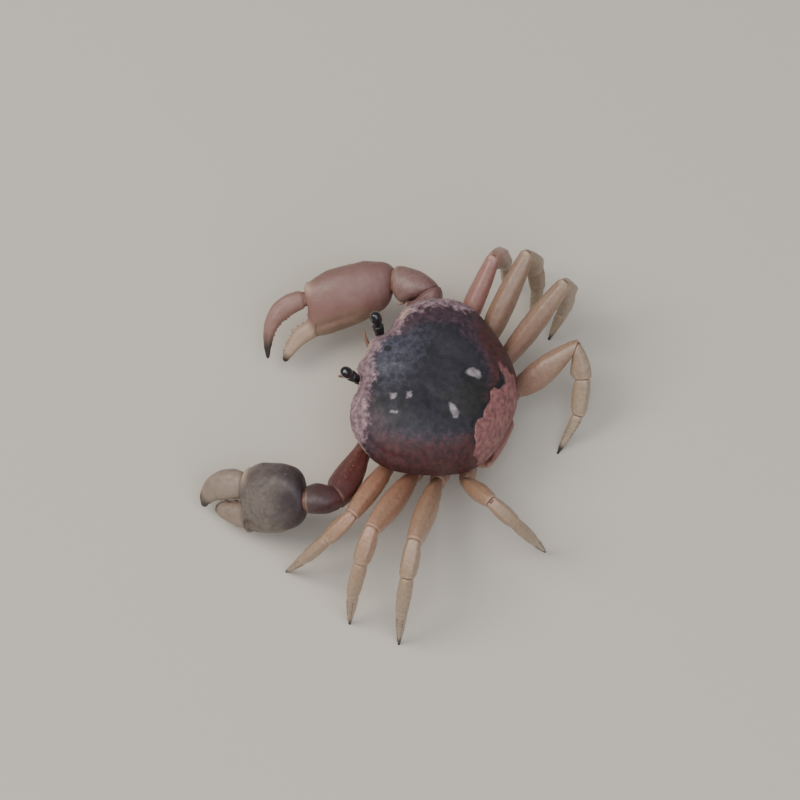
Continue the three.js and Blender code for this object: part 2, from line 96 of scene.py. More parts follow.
# Where the dark crown breaks off before the pink hind border, from right to left, and the depth of the step.
HIND_LINE = [
    [-12, 9.6], [-9.4, 12.6], [-7.6, 14], [-5.4, 13.9], [-4.6, 13.1], [-3, 12.8], [-1.2, 13.7],
    [1.4, 13.4], [3.4, 13.9], [4.6, 13.2], [6.4, 13], [7.6, 14], [8.4, 14], [9.2, 14.8], [12, 15],
]
HIND_STEP = .22

# Hollows: centre, radii, tilt about X in degrees, and the way in.
EYE_SOCKETS = [
    ([7.9, -17.2, 23.3] * flip, [4, 3.4, 2.5], 0, [-.25, 1, -.05] * flip) for flip in FLIPS.values()
]
MOUTH_FRAME = ([0, -13.6, 17], [7, 6.8, 3], -42, [0, .775, .631])
LIP_AT = 1.12               # a lip's crest and its half width, as shares of the hollow's radii
LIP_WIDTH = .09
SOCKET_LIP = .22            # how far each lip stands up
MOUTH_LIP = .15

# Pale scars where the muscles grip inside, and three smaller pale marks further forward: the corners of each,
# from above.
SCARS = [
    [[-5.8, 8.7], [-5.6, 7], [-4.4, 6.2], [-3, 6.1], [-3.3, 7.4], [-3.9, 9.4], [-5, 9.6]],
    [[4.9, 6], [6, 5.9], [7, 7.1], [8.3, 8], [7.3, 9.3], [6.1, 9], [5.3, 7.8]],
    [[9.1, -5.6], [9.8, -6.9], [11.2, -6.2], [10.2, -5.1]],
    [[7, -2.5], [7.8, -3.6], [9.4, -3], [8.6, -2]],
    [[13, -3.4], [13.5, -5.2], [14, -5], [13.6, -3.4]],
]
# Painted shade in dark pits beside them: centre and radii of each.
SHADES = [
    ([4.6, 5.2], [1.1, 1]), ([8.3, 6.6], [1.1, .8]), ([-2.4, 5.7], [1, .7]), ([-1.9, 7.6], [.8, 1.2]),
    ([12.6, -8], [1.6, 1.1]), ([11.2, -3.6], [1.3, .7]), ([-.9, -12.5], [.8, 1]),
]

carapace_low, carapace_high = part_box("carapace")
SHELL_PLACE = np.array([
    (carapace_low.x + carapace_high.x) / 2, carapace_high.y - SHELL_LENGTH / 2000, 0,
])


def curve(points, closed=False, steps=40):
    """A dense smooth line through points that never loops between close ones."""
    points = np.asarray(points, float)
    if closed:
        wide = np.vstack([points[-1:], points, points[:2]])
    else:
        wide = np.vstack([2 * points[:1] - points[1:2], points, 2 * points[-1:] - points[-2:-1]])
    t = np.linspace(0, 1, steps, endpoint=False)[:, None]
    line = []
    for p0, p1, p2, p3 in zip(wide, wide[1:], wide[2:], wide[3:]):
        d0, d1, d2 = (math.sqrt(np.linalg.norm(b - a)) for a, b in ((p0, p1), (p1, p2), (p2, p3)))
        leaving = ((p1 - p0) / d0 - (p2 - p0) / (d0 + d1) + (p2 - p1) / d1) * d1
        arriving = ((p2 - p1) / d1 - (p3 - p1) / (d1 + d2) + (p3 - p2) / d2) * d1
        bend = -3 * p1 + 3 * p2 - 2 * leaving - arriving
        line.append(p1 + leaving * t + bend * t ** 2 + (2 * p1 - 2 * p2 + leaving + arriving) * t ** 3)
    line.append(points[:1] if closed else points[-1:])
    return np.vstack(line)


def spaced(line, count):
    """Points at even steps along a line."""
    run = np.concatenate([[0], np.cumsum(np.linalg.norm(np.diff(line, axis=0), axis=1))])
    at = np.linspace(0, run[-1], count)
    return np.stack([np.interp(at, run, line[:, k]) for k in range(line.shape[1])], axis=1)


def bell(value, centre, width):
    """1 at the centre, fading smoothly to nothing about two widths away."""
    return np.exp(-((value - centre) / width) ** 2)


def bump(x, y, centre, radii):
    """1 at the centre of an oval patch, seen from above, fading out over its radii."""
    return bell(x, centre[0], radii[0]) * bell(y, centre[1], radii[1])


def ramp(value, start, end):
    """0 at the start, 1 at the end and even between them, whichever of the two is larger."""
    return np.clip((value - start) / (end - start), 0, 1)


def off_line(x, y, points):
    """Distance in plan from each place to a smooth line."""
    line = spaced(curve(points), 40)
    return np.min(np.hypot(x[..., None] - line[:, 0], y[..., None] - line[:, 1]), axis=-1)


def inside(x, y, corners):
    """How far in plan each place lies inside a patch with straight sides, below zero outside it."""
    corners = np.array(corners)
    ahead = np.roll(corners, -1, axis=0) - corners
    left = (x[..., None] - corners[:, 0]) * ahead[:, 1] - (y[..., None] - corners[:, 1]) * ahead[:, 0]
    depth = left / np.hypot(ahead[:, 0], ahead[:, 1])
    return np.maximum(depth.min(axis=-1), (-depth).min(axis=-1))


def grain(points, size, strength, seed=0):
    """Uneven height of old shell: lumps about `size` across."""
    lumps = [noise.noise((p[0] / size + seed, p[1] / size, p[2] / size)) for p in points.reshape(-1, 3)]
    return strength * np.array(lumps).reshape(points.shape[:-1])


def unit(vectors):
    """The same vectors at length one."""
    return vectors / np.maximum(np.linalg.norm(vectors, axis=-1, keepdims=True), 1e-9)


def raised(rings, heights):
    """A skin with each of its points moved out along its own normal."""
    around = np.roll(rings, -1, axis=1) - np.roll(rings, 1, axis=1)
    normals = unit(np.cross(around, np.gradient(rings, axis=0)))
    outward = np.sum((rings - rings.mean(axis=1, keepdims=True)) * normals)
    return rings + normals * math.copysign(1, outward) * np.asarray(heights)[..., None]


def hollowed(points, hollow, lip):
    """Pushes what lies inside an egg-shaped hollow to its far wall, and raises a lip round its mouth."""
    centre, radii, tilt, way_in = hollow
    way_in = unit(np.array(way_in, float))
    turn = math.radians(tilt)
    upright = np.array([[1, 0, 0], [0, math.cos(turn), math.sin(turn)], [0, -math.sin(turn), math.cos(turn)]])
    local = ((points - centre) @ upright.T) / radii
    step = way_in @ upright.T / radii
    reach = np.sum(local * local, axis=-1)
    ahead = np.sum(local * step, axis=-1)
    square = np.sum(step * step)
    depth = (-ahead + np.sqrt(np.maximum(ahead ** 2 - square * (reach - 1), 0))) / square
    push = np.where(reach < 1, depth, 0) - lip * bell(np.sqrt(reach), LIP_AT, LIP_WIDTH)
    return points + way_in * push[..., None]


def shell(rings, **marks):
    """One closed skin through rings of equal length, with the marks that its colours are read from."""
    rows, columns = rings.shape[:2]
    points = np.vstack([rings.reshape(-1, 3), rings[:1].mean(axis=1), rings[-1:].mean(axis=1)])
    here = np.arange(rows * columns).reshape(rows, columns)
    beside = np.roll(here, -1, axis=1)
    quads = np.stack([here[:-1], beside[:-1], beside[1:], here[1:]], axis=-1).reshape(-1, 4)
    faces = quads.tolist()
    faces += [[rows * columns, int(b), int(a)] for a, b in zip(here[0], beside[0])]
    faces += [[rows * columns + 1, int(a), int(b)] for a, b in zip(here[-1], beside[-1])]
    a, b, c, d = (points[quads[:, k]] for k in range(4))
    if np.sum(np.cross(a, b) * c) + np.sum(np.cross(a, c) * d) < 0:     # its volume, if faced outwards
        faces = [face[::-1] for face in faces]
    values = {}
    for mark, value in marks.items():
        full = np.broadcast_to(np.asarray(value, float), (rows, columns))
        values[mark] = np.concatenate([full.ravel(), [full[0].mean(), full[-1].mean()]])
    return points, faces, values


def placed(name, data):
    """A new object in the scene."""
    made = bpy.data.objects.new(name, data)
    bpy.context.scene.collection.objects.link(made)
    return made


def piece(name, shells, material, stands_for=()):
    """One object of the crab from its closed skins, in its material, in place of its solids."""
    points, faces, values = [], [], {}
    for shell_points, shell_faces, shell_values in shells:
        start = sum(len(p) for p in points)
        points.append(shell_points)
        faces += [[i + start for i in face] for face in shell_faces]
        for mark, value in shell_values.items():
            values.setdefault(mark, []).append(value)
    mesh = bpy.data.meshes.new(name)
    mesh.from_pydata((np.vstack(points) / 1000 + SHELL_PLACE).tolist(), [], faces)
    for mark, value in values.items():
        mesh.attributes.new(mark, "FLOAT", "POINT").data.foreach_set("value", np.concatenate(value))
    mesh.polygons.foreach_set("use_smooth", [True] * len(faces))
    mesh.materials.append(material)
    made = placed(name, mesh)
    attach(made, "root")
    if stands_for:
        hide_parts(*stands_for)


def linear(colour):
    """An sRGB hex colour as the linear values that a shader takes."""
    shares = [int(colour[i:i + 2], 16) / 255 for i in (1, 3, 5)]
    return [s / 12.92 if s <= .04045 else ((s + .055) / 1.055) ** 2.4 for s in shares] + [1]


def add(material, kind, inputs=None, stops=(), gives=0, **settings):
    """Adds a shader node with its settings and hands back one of its outputs. An input that is another
    node's output is linked, and one that is a hex colour is made linear."""
    node = material.node_tree.nodes.new("ShaderNode" + kind)
    for key, value in settings.items():
        setattr(node, key, value)
    for key, value in (inputs or {}).items():
        if isinstance(value, bpy.types.NodeSocket):
            material.node_tree.links.new(value, node.inputs[key])
        else:
            node.inputs[key].default_value = linear(value) if isinstance(value, str) else value
    for i, (position, colour) in enumerate(stops):
        bar = node.color_ramp.elements
        stop = bar[i] if i < 2 else bar.new(1)
        stop.position = position
        stop.color = linear(colour)
    return node.outputs[gives]


def finish_of(name, roughness, coat, coat_roughness=.25, ior=1.56):
    """A new material with the plain numbers of chitin, IOR 1.56 and a thin waxy coat on hard shell, and
    the place on the crab that its patterns are read at."""
    material = bpy.data.materials.new(name)
    material.use_nodes = True
    shader = material.node_tree.nodes["Principled BSDF"]
    plain = {"Roughness": roughness, "IOR": ior, "Coat Weight": coat, "Coat Roughness": coat_roughness}
    for key, value in plain.items():
        shader.inputs[key].default_value = value
    return material, add(material, "TexCoord", gives="Object")


def tint(material, colour, pigment, amount, shows=0, covers=1, most=1, cloud=None, stray=0):
    """Lays a pigment over a colour. It shows from one level of the amount and covers most at another, and
    a cloud can make both levels stray up and down by half the stray."""
    if cloud:
        amount = add(material, "Math", {0: cloud, 1: stray, 2: amount}, operation="MULTIPLY_ADD")
    cover = add(material, "MapRange", {
        "Value": amount, "From Min": shows + stray / 2, "From Max": covers + stray / 2, "To Max": most})
    return add(material, "Mix", {0: cover, 6: colour, 7: pigment}, gives=2, data_type="RGBA")


def show(material, patterns):
    """Links a material's patterns to its shader."""
    shader = material.node_tree.nodes["Principled BSDF"]
    for key, value in patterns.items():
        material.node_tree.links.new(value, shader.inputs[key])


def wear(material, place, colour, pit_mm, lump_mm, pit_depth_mm):
    """Ends a shell material: its colour, pits and low lumps as relief, and duller patches."""
    roughness = material.node_tree.nodes["Principled BSDF"].inputs["Roughness"].default_value
    pits = add(material, "TexVoronoi", {"Vector": place, "Scale": 1000 / pit_mm})
    dents = add(material, "MapRange", {"Value": pits, "From Min": .05, "From Max": .45})
    lumps = add(material, "TexNoise", {"Vector": place, "Scale": 1000 / lump_mm, "Detail": 4})
    pitted = add(material, "Bump", {"Height": dents, "Strength": .5, "Distance": pit_depth_mm / 1000})
    lumpy = add(material, "Bump", {
        "Height": lumps, "Strength": .6, "Distance": pit_depth_mm * 1.5 / 1000, "Normal": pitted})
    dull = add(material, "MapRange", {
        "Value": lumps, "From Min": .3, "From Max": .7, "To Min": roughness - .08, "To Max": roughness + .14})
    show(material, {"Base Color": colour, "Normal": lumpy, "Roughness": dull})


# Satin pigmented chitin: slate-black on the crown so that it reads as one dark dome, with a painted blue-grey
# reflection of the sky in front, mottled mauve at the front corners, dark red at the sides, and pink behind a
# ragged line at the back. Painted shade and a painted highlight are laid over it the same way as its
# pigments.
carapace_chitin, carapace_place = finish_of("carapace_chitin", .58, .04, .4)
blotches, mottles, speckles = (
    add(carapace_chitin, "TexNoise", {
        "Vector": carapace_place, "Scale": 1000 / size_mm, "Detail": detail, "Roughness": .6})
    for size_mm, detail in ((5, 4), (1.3, 2), (.8, 3))
)
shell_colour = add(carapace_chitin, "Mix", {
    0: blotches, 6: "#1f1e26", 7: "#2f2c3a"}, gives=2, data_type="RGBA")

# Each pigment by its mark on the mesh, and the painted reflection, highlight and shade laid the same way: its
# darker and lighter colour, the cloud that breaks its edge and how far, and how much of the mark is needed
# before it shows and for it to cover.
PIGMENTS = [
    # darker, less blue black towards the back of the crown
    ("soot", "#1d1d1c", "#2a2826", blotches, .4, .4, .85),
    # painted reflection of the sky on the front of the crown
    ("haze", "#3f404f", "#5c5b6e", mottles, .8, .3, 1.05),
    ("plum", "#3e2a35", "#563d49", mottles, .8, .3, .8),
    ("mauve", "#7c5e6a", "#b99ca4", mottles, 1, .36, .7),
    ("red", "#422221", "#5f2f30", mottles, .6, .28, .78),
    ("flank", "#7b4f47", "#ab8470", blotches, .7, .35, .8),
    ("hind", "#915a5b", "#ab746f", blotches, 2, .38, .62),
    # pale lips and beads round the sockets and front edge, partly painted highlight
    ("rim", "#a08078", "#e2c8bb", speckles, .6, .4, .7),
    ("scar", "#807882", "#b6acae", speckles, 1, .3, .8),
    # painted shade: by the scars, in the eye sockets and in the gap before the hind step
    ("shade", "#121216", "#1b1a1f", mottles, .8, .45, .8),
]
for mark, darker, lighter, cloud, stray, shows, covers in PIGMENTS:
    painted = add(carapace_chitin, "Attribute", attribute_name=mark, gives="Fac")
    pigment = add(carapace_chitin, "Mix", {0: mottles, 6: darker, 7: lighter}, gives=2, data_type="RGBA")
    shell_colour = tint(
        carapace_chitin, shell_colour, pigment, painted, shows, covers, cloud=cloud, stray=stray)
uneven = add(carapace_chitin, "MapRange", {"Value": mottles, "From Min": .34, "From Max": .68, "To Min": .5})
mottled = add(carapace_chitin, "Mix", {
    0: 1, 6: shell_colour, 7: uneven}, gives=2, data_type="RGBA", blend_type="MULTIPLY")
wear(carapace_chitin, carapace_place, mottled, .55, 2.2, .05)

half_edge = [[x * SHELL_WIDTH / 2, y * SHELL_LENGTH / 2] for x, y in SHELL_EDGE]
whole_edge = half_edge + [[0, SHELL_LENGTH / 2]] + [[-x, y] for x, y in half_edge[:0:-1]]
edge = spaced(curve(whole_edge, closed=True), SHELL_COLUMNS + 1)[:-1]
edge_height = SHELL_MARGIN - (EDGE_FALL + SHELL_TILT) * edge[:, 1] - EDGE_SAG * edge[:, 1] ** 2

crown_turn = np.linspace(.5 / CROWN_ROWS, 1, CROWN_ROWS)[:, None] * math.pi / 2
crown_reach = np.sin(crown_turn) ** CROWN_FULLNESS
crown_lift = np.maximum(np.cos(crown_turn), 0) ** CROWN_FULLNESS
crown_x = crown_reach * edge[:, 0]
crown_y = crown_reach * edge[:, 1]
swell = sum(height * bump(abs(crown_x), crown_y, centre, radii) for height, centre, radii in SWELLINGS)
crown_z = edge_height + (SHELL_TOP - SHELL_TILT * crown_y + swell - edge_height) * crown_lift
crown = np.stack([crown_x, crown_y, crown_z], axis=-1)

flank_turn = np.linspace(1 / FLANK_ROWS, 1, FLANK_ROWS)[:, None] * math.pi / 2
flank_in = np.maximum(np.cos(flank_turn), 0) ** (2 / FLANK_FULLNESS)
flank_down = np.sin(flank_turn) ** (2 / FLANK_FULLNESS)
low_y = np.where(edge[:, 1] < 0, LOW_FRONT, LOW_BACK)
flank = np.stack([
    edge[:, 0] * (LOW_SIDES + (1 - LOW_SIDES) * flank_in),
    edge[:, 1] * (low_y + (1 - low_y) * flank_in),
    edge_height - (edge_height - SHELL_RIM) * flank_down,
], axis=-1)

carapace_rings = np.vstack([crown, flank])
# Both run from 0 at the middle of the crown, by 1 at the widest line, to 2 at the lower rim: the first
# by distance and the second by rows.
plan_reach = np.vstack([crown_reach, 1 + flank_down])
row_share = np.vstack([crown_turn, crown_turn[-1] + flank_turn]) / (math.pi / 2)
for _ in range(EDGE_ROUNDINGS):
    soft = (carapace_rings[:-2] + 2 * carapace_rings[1:-1] + carapace_rings[2:]) / 4
    carapace_rings[1:-1] += (soft - carapace_rings[1:-1]) * bell(plan_reach[1:-1], 1, .12)[..., None]

place_x = carapace_rings[..., 0]
place_y = carapace_rings[..., 1]
outward = abs(place_x)
on_crown = ramp(plan_reach, 1.06, .94)
past_step = place_y - np.interp(place_x, *zip(*HIND_LINE))
step_fades = on_crown * ramp(outward, 12, 9)
column = np.arange(SHELL_COLUMNS)
beads = .6 + .4 * np.sin(column * 1.9 + 2 * np.sin(column * .37))
front_rim = bell(plan_reach, .985, .03) * ramp(place_y, -12, -15)
side_rim = bell(plan_reach, .99, .016) * ramp(place_y, 6, 0) * (outward > 7) * beads
side_furrow = bell(plan_reach, .945, .02) * ramp(place_y, 8, 0) * (outward > 9)
folds = np.sin(place_x * 1.1 + place_y * 2.6 + grain(carapace_rings, 6, 3)) * ramp(plan_reach, 1.1, 1.3)
carve = RIM_HEIGHT * (front_rim + side_rim) - EDGE_FURROW_DEPTH * side_furrow + FOLD_HEIGHT * folds
carve += grain(carapace_rings, 5, .12) + grain(carapace_rings, 1.6, .04, 7) - DRAWN_IN
carve -= HIND_STEP * bell(np.maximum(-past_step, 0), 0, .9) * (past_step < 0) * step_fades
for line, half_width, depth in FURROWS:
    carve -= depth * bell(off_line(outward, place_y, line), 0, half_width) * ramp(plan_reach, 1, .8)
carapace_rings = raised(carapace_rings, carve)
# Pale lips round the eye sockets, and painted shade inside them.
socket_lip = 0
socket_shade = 0
for socket in EYE_SOCKETS:
    from_socket = np.linalg.norm((carapace_rings - socket[0]) / socket[1], axis=-1)
    socket_lip = socket_lip + .9 * bell(from_socket, LIP_AT, LIP_WIDTH)
    socket_shade = socket_shade + ramp(from_socket, 1, .9)
    carapace_rings = hollowed(carapace_rings, socket, SOCKET_LIP)
carapace_rings = hollowed(carapace_rings, MOUTH_FRAME, MOUTH_LIP)

on_right = place_x < 0
scar = np.max([ramp(inside(place_x, place_y, corners), -.5, .5) for corners in SCARS], axis=0)
shade = np.max([bump(place_x, place_y, centre, radii) for centre, radii in SHADES], axis=0)
# A band of painted shade in the gap just before the hind step, wider in places.
gap_width = .1 + 1.1 * (.5 + grain(carapace_rings, 2.6, 1, 11)) ** 2
shade_before_step = bell(past_step, -.3, gap_width) * step_fades
# Painted highlight on the lip between the eyes and on the front right corner.
front_highlight = (.8 * bump(place_x, place_y, (0, -17.5), (5, .9))
              + 1.5 * bump(place_x, place_y, (-12.5, -13.6), (2.4, 1.1)))

# Each pigment's mark: the reds and mauves come in from the sides, and reach further in on the right.
piece("back_shell", [shell(
    carapace_rings,
    soot=bump(place_x, place_y, (1, 10), (8, 5)),
    # painted reflection of the sky, on the front of the crown
    haze=1.1 * bump(place_x, place_y, (-1, -12), (12, 8)) * on_crown,
    plum=ramp(plan_reach - np.where(on_right, .42, .58), 0, .3) * ramp(outward, 0, SHELL_WIDTH / 4),
    mauve=ramp(plan_reach, .66, .94) * ramp(np.where(on_right, 2, -6.4) - place_y, 0, 4)
    * np.clip((1.25 - plan_reach) / .2, .3, 1),
    red=ramp(plan_reach - np.where(on_right, .58, .7), 0, .2)
    * ramp(place_y + np.where(on_right, 0, 8), 0, 6),
    flank=ramp(plan_reach, 1.05, 1.45),
    hind=ramp(past_step, -.15, .15) * ramp(abs(place_x + .1), 12.9, 8.4),
    # pale lips round the sockets and a pale beaded front edge, with painted highlight along it and in front
    rim=socket_lip + np.maximum(
        bell(row_share, .98, .03) * ramp(place_y, -2, -10), front_highlight * ramp(row_share, 1.02, .99)),
    scar=scar * on_crown,
    # painted shade by the scars, before the hind step and inside the eye sockets
    shade=np.maximum(1.7 * shade * on_crown, shade_before_step) + .9 * socket_shade,
)], carapace_chitin, ["carapace"])

# ---------------------------------------- breast plates
# The sternum: the plates between the legs, fused into one keel-less floor of dull, thinly pigmented
# chitin. Grooves mark where the plates grew together, and a shallow trough holds the tail flap.

BREAST_FRONT = -10.2
BREAST_BACK = 14.6
BREAST_TOP = 13.7
BREAST_BOTTOM = 6.6
BREAST_HALF_WIDTHS = [5.6, 9.6, 11.6, 11.9, 10.8, 7.4]
BREAST_GROOVES = [-6.4, -.6, 5, 10.2]
GROOVE_DEPTH = .55
TROUGH_HALF_WIDTH = 3.6
TROUGH_DEPTH = .35
TROUGH_BELOW = 9            # height under which the trough and the middle seam are cut


def eased(samples, shares, slope=0):
    """Smooth value through evenly spaced samples: level at each of them, or with slope 1 running on."""
    samples = np.asarray(samples, float)
    place = np.clip(shares, 0, 1) * (len(samples) - 1)
    index = np.minimum(place.astype(int), len(samples) - 2)
    t = (place - index).reshape([-1] + [1] * (samples.ndim - 1))
    p0, p1, p2, p3 = (samples[np.clip(index + k, 0, len(samples) - 1)] for k in (-1, 0, 1, 2))
    running = (p2 - p0) * t * (1 - t) ** 2 - (p3 - p1) * t ** 2 * (1 - t)
    return p1 + (p2 - p1) * t ** 2 * (3 - 2 * t) + slope * running / 2


def from_ends(share):
    """How far along each place is from the nearer end."""
    return np.minimum(share, 1 - share)


def rounded(value, start, end, least=0):
    """1 at the start, falling as a quarter circle does to the least at the end."""
    return np.sqrt(np.clip(1 - ramp(value, start, end) ** 2, least, 1))


def hoops(centres, across, rise, half_widths, half_heights, columns, power=2.4):
    """Rings of a limb: rounded boxes with this half width across and half height along the rise."""
    angle = np.linspace(0, 2 * math.pi, columns, endpoint=False)
    wide, tall = (np.sign(v) * np.abs(v) ** (2 / power) for v in (np.cos(angle), np.sin(angle)))
    half_widths, half_heights = (np.reshape(v, (-1, 1, 1)) for v in (half_widths, half_heights))
    across, rise = (np.atleast_2d(v)[:, None] for v in (across, rise))
    return centres[:, None] + across * half_widths * wide[:, None] + rise * half_heights * tall[:, None]


# Dull matt chitin with little pigment: pale tan, pinker in the grooves, with a faint grain.
breast_chitin, breast_place = finish_of("breast_chitin", .52, .1)
breast_cloud = add(breast_chitin, "TexNoise", {
    "Vector": breast_place, "Scale": 1000 / 4, "Detail": 5, "Roughness": .6})
breast_tan = add(breast_chitin, "ValToRGB", {"Fac": breast_cloud}, [
    (.3, "#9c7866"), (.52, "#b4927c"), (.72, "#c5a991")])
breast_groove = add(breast_chitin, "Attribute", attribute_name="groove", gives="Fac")
breast_colour = tint(breast_chitin, breast_tan, "#84504c", breast_groove)
wear(breast_chitin, breast_place, breast_colour, .5, 1.8, .04)

breast_share = (1 - np.cos(np.linspace(0, 1, 110) * math.pi)) / 2
breast_y = BREAST_FRONT + (BREAST_BACK - BREAST_FRONT) * breast_share
breast_height = (BREAST_TOP - BREAST_BOTTOM) / 2 * (.8 + .2 * np.sqrt(1 - (2 * breast_share - 1) ** 6))
breast_width = eased(BREAST_HALF_WIDTHS, breast_share)
breast_width = breast_width * (.86 + .14 * rounded(from_ends(breast_share), .04, 0))
breast_centres = np.stack([0 * breast_y, breast_y, BREAST_TOP - breast_height], axis=-1)
breast_rings = hoops(breast_centres, [1, 0, 0], [0, 0, 1], breast_width, breast_height, 120, 2.8)
breast_x = breast_rings[..., 0]
swept_y = breast_rings[..., 1] - .055 * abs(breast_x)
grooves = sum(bell(swept_y, y, .4) for y in BREAST_GROOVES) * ramp(abs(breast_x), 2.6, 4.6)
beneath = breast_rings[..., 2] < TROUGH_BELOW
trough = np.exp(-(breast_x / TROUGH_HALF_WIDTH) ** 4) * beneath
seam = bell(breast_x, 0, .35) * beneath
breast_rings = raised(
    breast_rings, grain(breast_rings, 3, .12) - GROOVE_DEPTH * grooves - TROUGH_DEPTH * trough - .15 * seam)
piece("breast_plates", [shell(breast_rings, groove=np.clip(.9 * grooves + .3 * seam, 0, 1))],
      breast_chitin, ["sternum"])

# ---------------------------------------- tail flap
# The male's narrow abdomen: seven overlapping rings of thin chitin that leave the back of the shell,
# turn under and lie in the trough of the breast, hinged by soft skin between the rings.

TAIL_PATH = [[0, 17.4, 13], [0, 17.2, 10.2], [0, 16, 7.3], [0, 13, 5.6], [0, 6, 5.3], [0, -4, 5.3]]
TAIL_HALF_WIDTHS = [5, 5.4, 6.2, 5.2, 3.9, 3.2, 2.6, 1.3]
TAIL_HALF_THICKNESS = .8
TAIL_RINGS = [.1, .22, .35, .48, .6, .72, .85]     # share of the path where each ring ends
TAIL_STEP = .16             # how far a ring's edge stands over the next
TAIL_JOINT = .3             # and how deep the joint behind it is
TAIL_ROWS = 200

tail_share = np.linspace(0, 1, TAIL_ROWS)
tail_line = spaced(curve(TAIL_PATH), TAIL_ROWS)
tail_rise = unit(np.cross([1, 0, 0], np.gradient(tail_line, axis=0)))
tail_step = sum(
    ramp(abs(tail_share - end + .012), .035, 0) * (tail_share <= end) for end in TAIL_RINGS)
tail_joint = sum(bell(tail_share, end + .006, .006) for end in TAIL_RINGS)
tail_tip = rounded(tail_share, .93, 1, .02)
tail_width = eased(TAIL_HALF_WIDTHS, tail_share) * tail_tip * (1 + .03 * tail_step - .05 * tail_joint)
tail_thick = TAIL_HALF_THICKNESS * (.92 + .08 * tail_tip)
tail_rings = hoops(tail_line, [1, 0, 0], tail_rise, tail_width, tail_thick, 72, 3)
keel = .12 * bell(tail_rings[..., 0], 0, 1.3) * (1 - tail_joint[:, None])
tail_relief = (TAIL_STEP * tail_step - TAIL_JOINT * tail_joint)[:, None] + keel
tail_rings = raised(tail_rings, tail_relief + grain(tail_rings, 1.5, .05))
tail_blush = np.clip(1 - tail_share / .3, 0, .9)
piece("tail_flap", [shell(tail_rings, groove=np.clip(tail_joint + tail_blush, 0, 1)[:, None])],
      breast_chitin, ["abdomen"])

# ---------------------------------------- mouth legs
# The outer maxillipeds: a pair of flat two-part plates, hinged at their lower ends, that close the mouth
# frame like doors and leave a narrow gap. Behind them sit the two hard white jaws.

MOUTH_LEG_FOOT = [3.3, -11.3, 12.6]
MOUTH_LEG_TOP = [4.2, -17, 19.6]
MOUTH_LEG_HALF_WIDTHS = [1.9, 2.6, 2.8, 2.5, 2.7, 2.5, 1.5]
MOUTH_LEG_HALF_THICKNESS = .62
MOUTH_LEG_HINGE = .52       # share of the length where its two parts meet
JAW_PLACE = [1.35, -12.9, 17.5]
JAW_WAY = np.array([0, -.45, .89])
JAW_LENGTH = 3.4
JAW_RADIUS = 1.25

for letter, flip in FLIPS.items():
    plate_foot = MOUTH_LEG_FOOT * flip
    plate_way = MOUTH_LEG_TOP * flip - plate_foot
    plate_share = np.linspace(0, 1, 90)
    plate_line = plate_foot + plate_way * plate_share[:, None]
    plate_hinge = bell(plate_share, MOUTH_LEG_HINGE, .018)
    plate_end = rounded(from_ends(plate_share), .05, 0, .0591)
    plate_width = eased(MOUTH_LEG_HALF_WIDTHS, plate_share) * plate_end * (1 - .07 * plate_hinge)
    plate_rings = hoops(plate_line, [1, 0, 0], unit(np.cross(plate_way, [1, 0, 0])), plate_width,
                        MOUTH_LEG_HALF_THICKNESS * plate_end, 48, 3)
    inward = (plate_rings[..., 0] - plate_line[:, None, 0]) * flip[0]
    gutter = bell(inward, -.5, .3) * (plate_share[:, None] < .48)
    plate_rim = bell(abs(inward), .82 * plate_width[:, None], .25)
    plate_relief = -.25 * plate_hinge[:, None] - .16 * gutter + .08 * plate_rim
    plate_rings = raised(plate_rings, plate_relief + grain(plate_rings, 1.2, .05))
    plate_skin = shell(plate_rings, groove=np.clip(plate_hinge[:, None] + .5 * gutter, 0, 1))
    piece(f"mouth_leg_{letter}", [plate_skin], breast_chitin, [f"maxilliped_{letter}"])


def knob(foot, way, length, radius, blunt=2.0, columns=10, rows=5, **marks):
    """A small spine, tooth or bead standing on a shell: `blunt` 1 is a cone and 2 a round-topped peg."""
    way = unit(way)
    across = unit(np.cross(way, [.31, .17, .93]))
    share = np.linspace(0, .985, rows) ** .7
    radii = radius * (1 - share) ** (1 / blunt)
    centres = foot + way * (share * length)[:, None]
    return shell(hoops(centres, across, np.cross(way, across), radii, radii, columns, 2), **marks)


def clouded_finish(name, roughness, coat, cloud_mm, detail, stops, wear_mm, **numbers):
    """A shell material whose colour drifts between the stops in clouds."""
    material, place = finish_of(name, roughness, coat, **numbers)
    cloud = add(material, "TexNoise", {"Vector": place, "Scale": 1000 / cloud_mm, "Detail": detail})
    wear(material, place, add(material, "ValToRGB", {"Fac": cloud}, stops), *wear_mm)
    return material


# Tooth-white chitin heavy with lime: smooth and glossier than the plates round it.
jaw_chitin = clouded_finish("jaw_chitin", .35, .3, 1.2, 3, [(.35, "#a9937c"), (.6, "#d8c9b4")], (.4, 1, .02))
jaws = [
    knob(JAW_PLACE * flip - JAW_WAY * JAW_LENGTH / 2, JAW_WAY, JAW_LENGTH, JAW_RADIUS, 2.6, 24, 14)
    for flip in FLIPS.values()
]
piece("jaws", jaws, jaw_chitin)

# ---------------------------------------- eyes
# Each eye is a glossy black cornea, made of thousands of tiny lenses, on a short stalk of dark chitin
# that stands in its socket at the front corner of the shell and can fold down into it.

STALK_FOOT = [5.9, -16.4, 23.4]
STALK_WAY = [1.7, -2, 4.6]
STALK_LENGTH = 4.2
STALK_RADII = [.9, 1.1, 1.05, 1.1, 1.25, 1.3]
EYE_RADIUS = 1.4
EYE_DEPTH = 1.35
EYE_HALF_LENGTH = 1.75
JOINT_GAP = .3
CORNEA_FULLNESS = .6        # 1 is an egg and less is a blunter cap that meets its stalk
LENS = .16                  # a real lens is a quarter of this; drawn as coarse as it needs to show

# Matt, nearly black chitin with brown where it is thin.
stalk_chitin = clouded_finish("stalk_chitin", .48, .15, 1.1, 4, [
    (.38, "#100e13"), (.6, "#1c181c"), (.78, "#382b2e")], (.35, .9, .03))

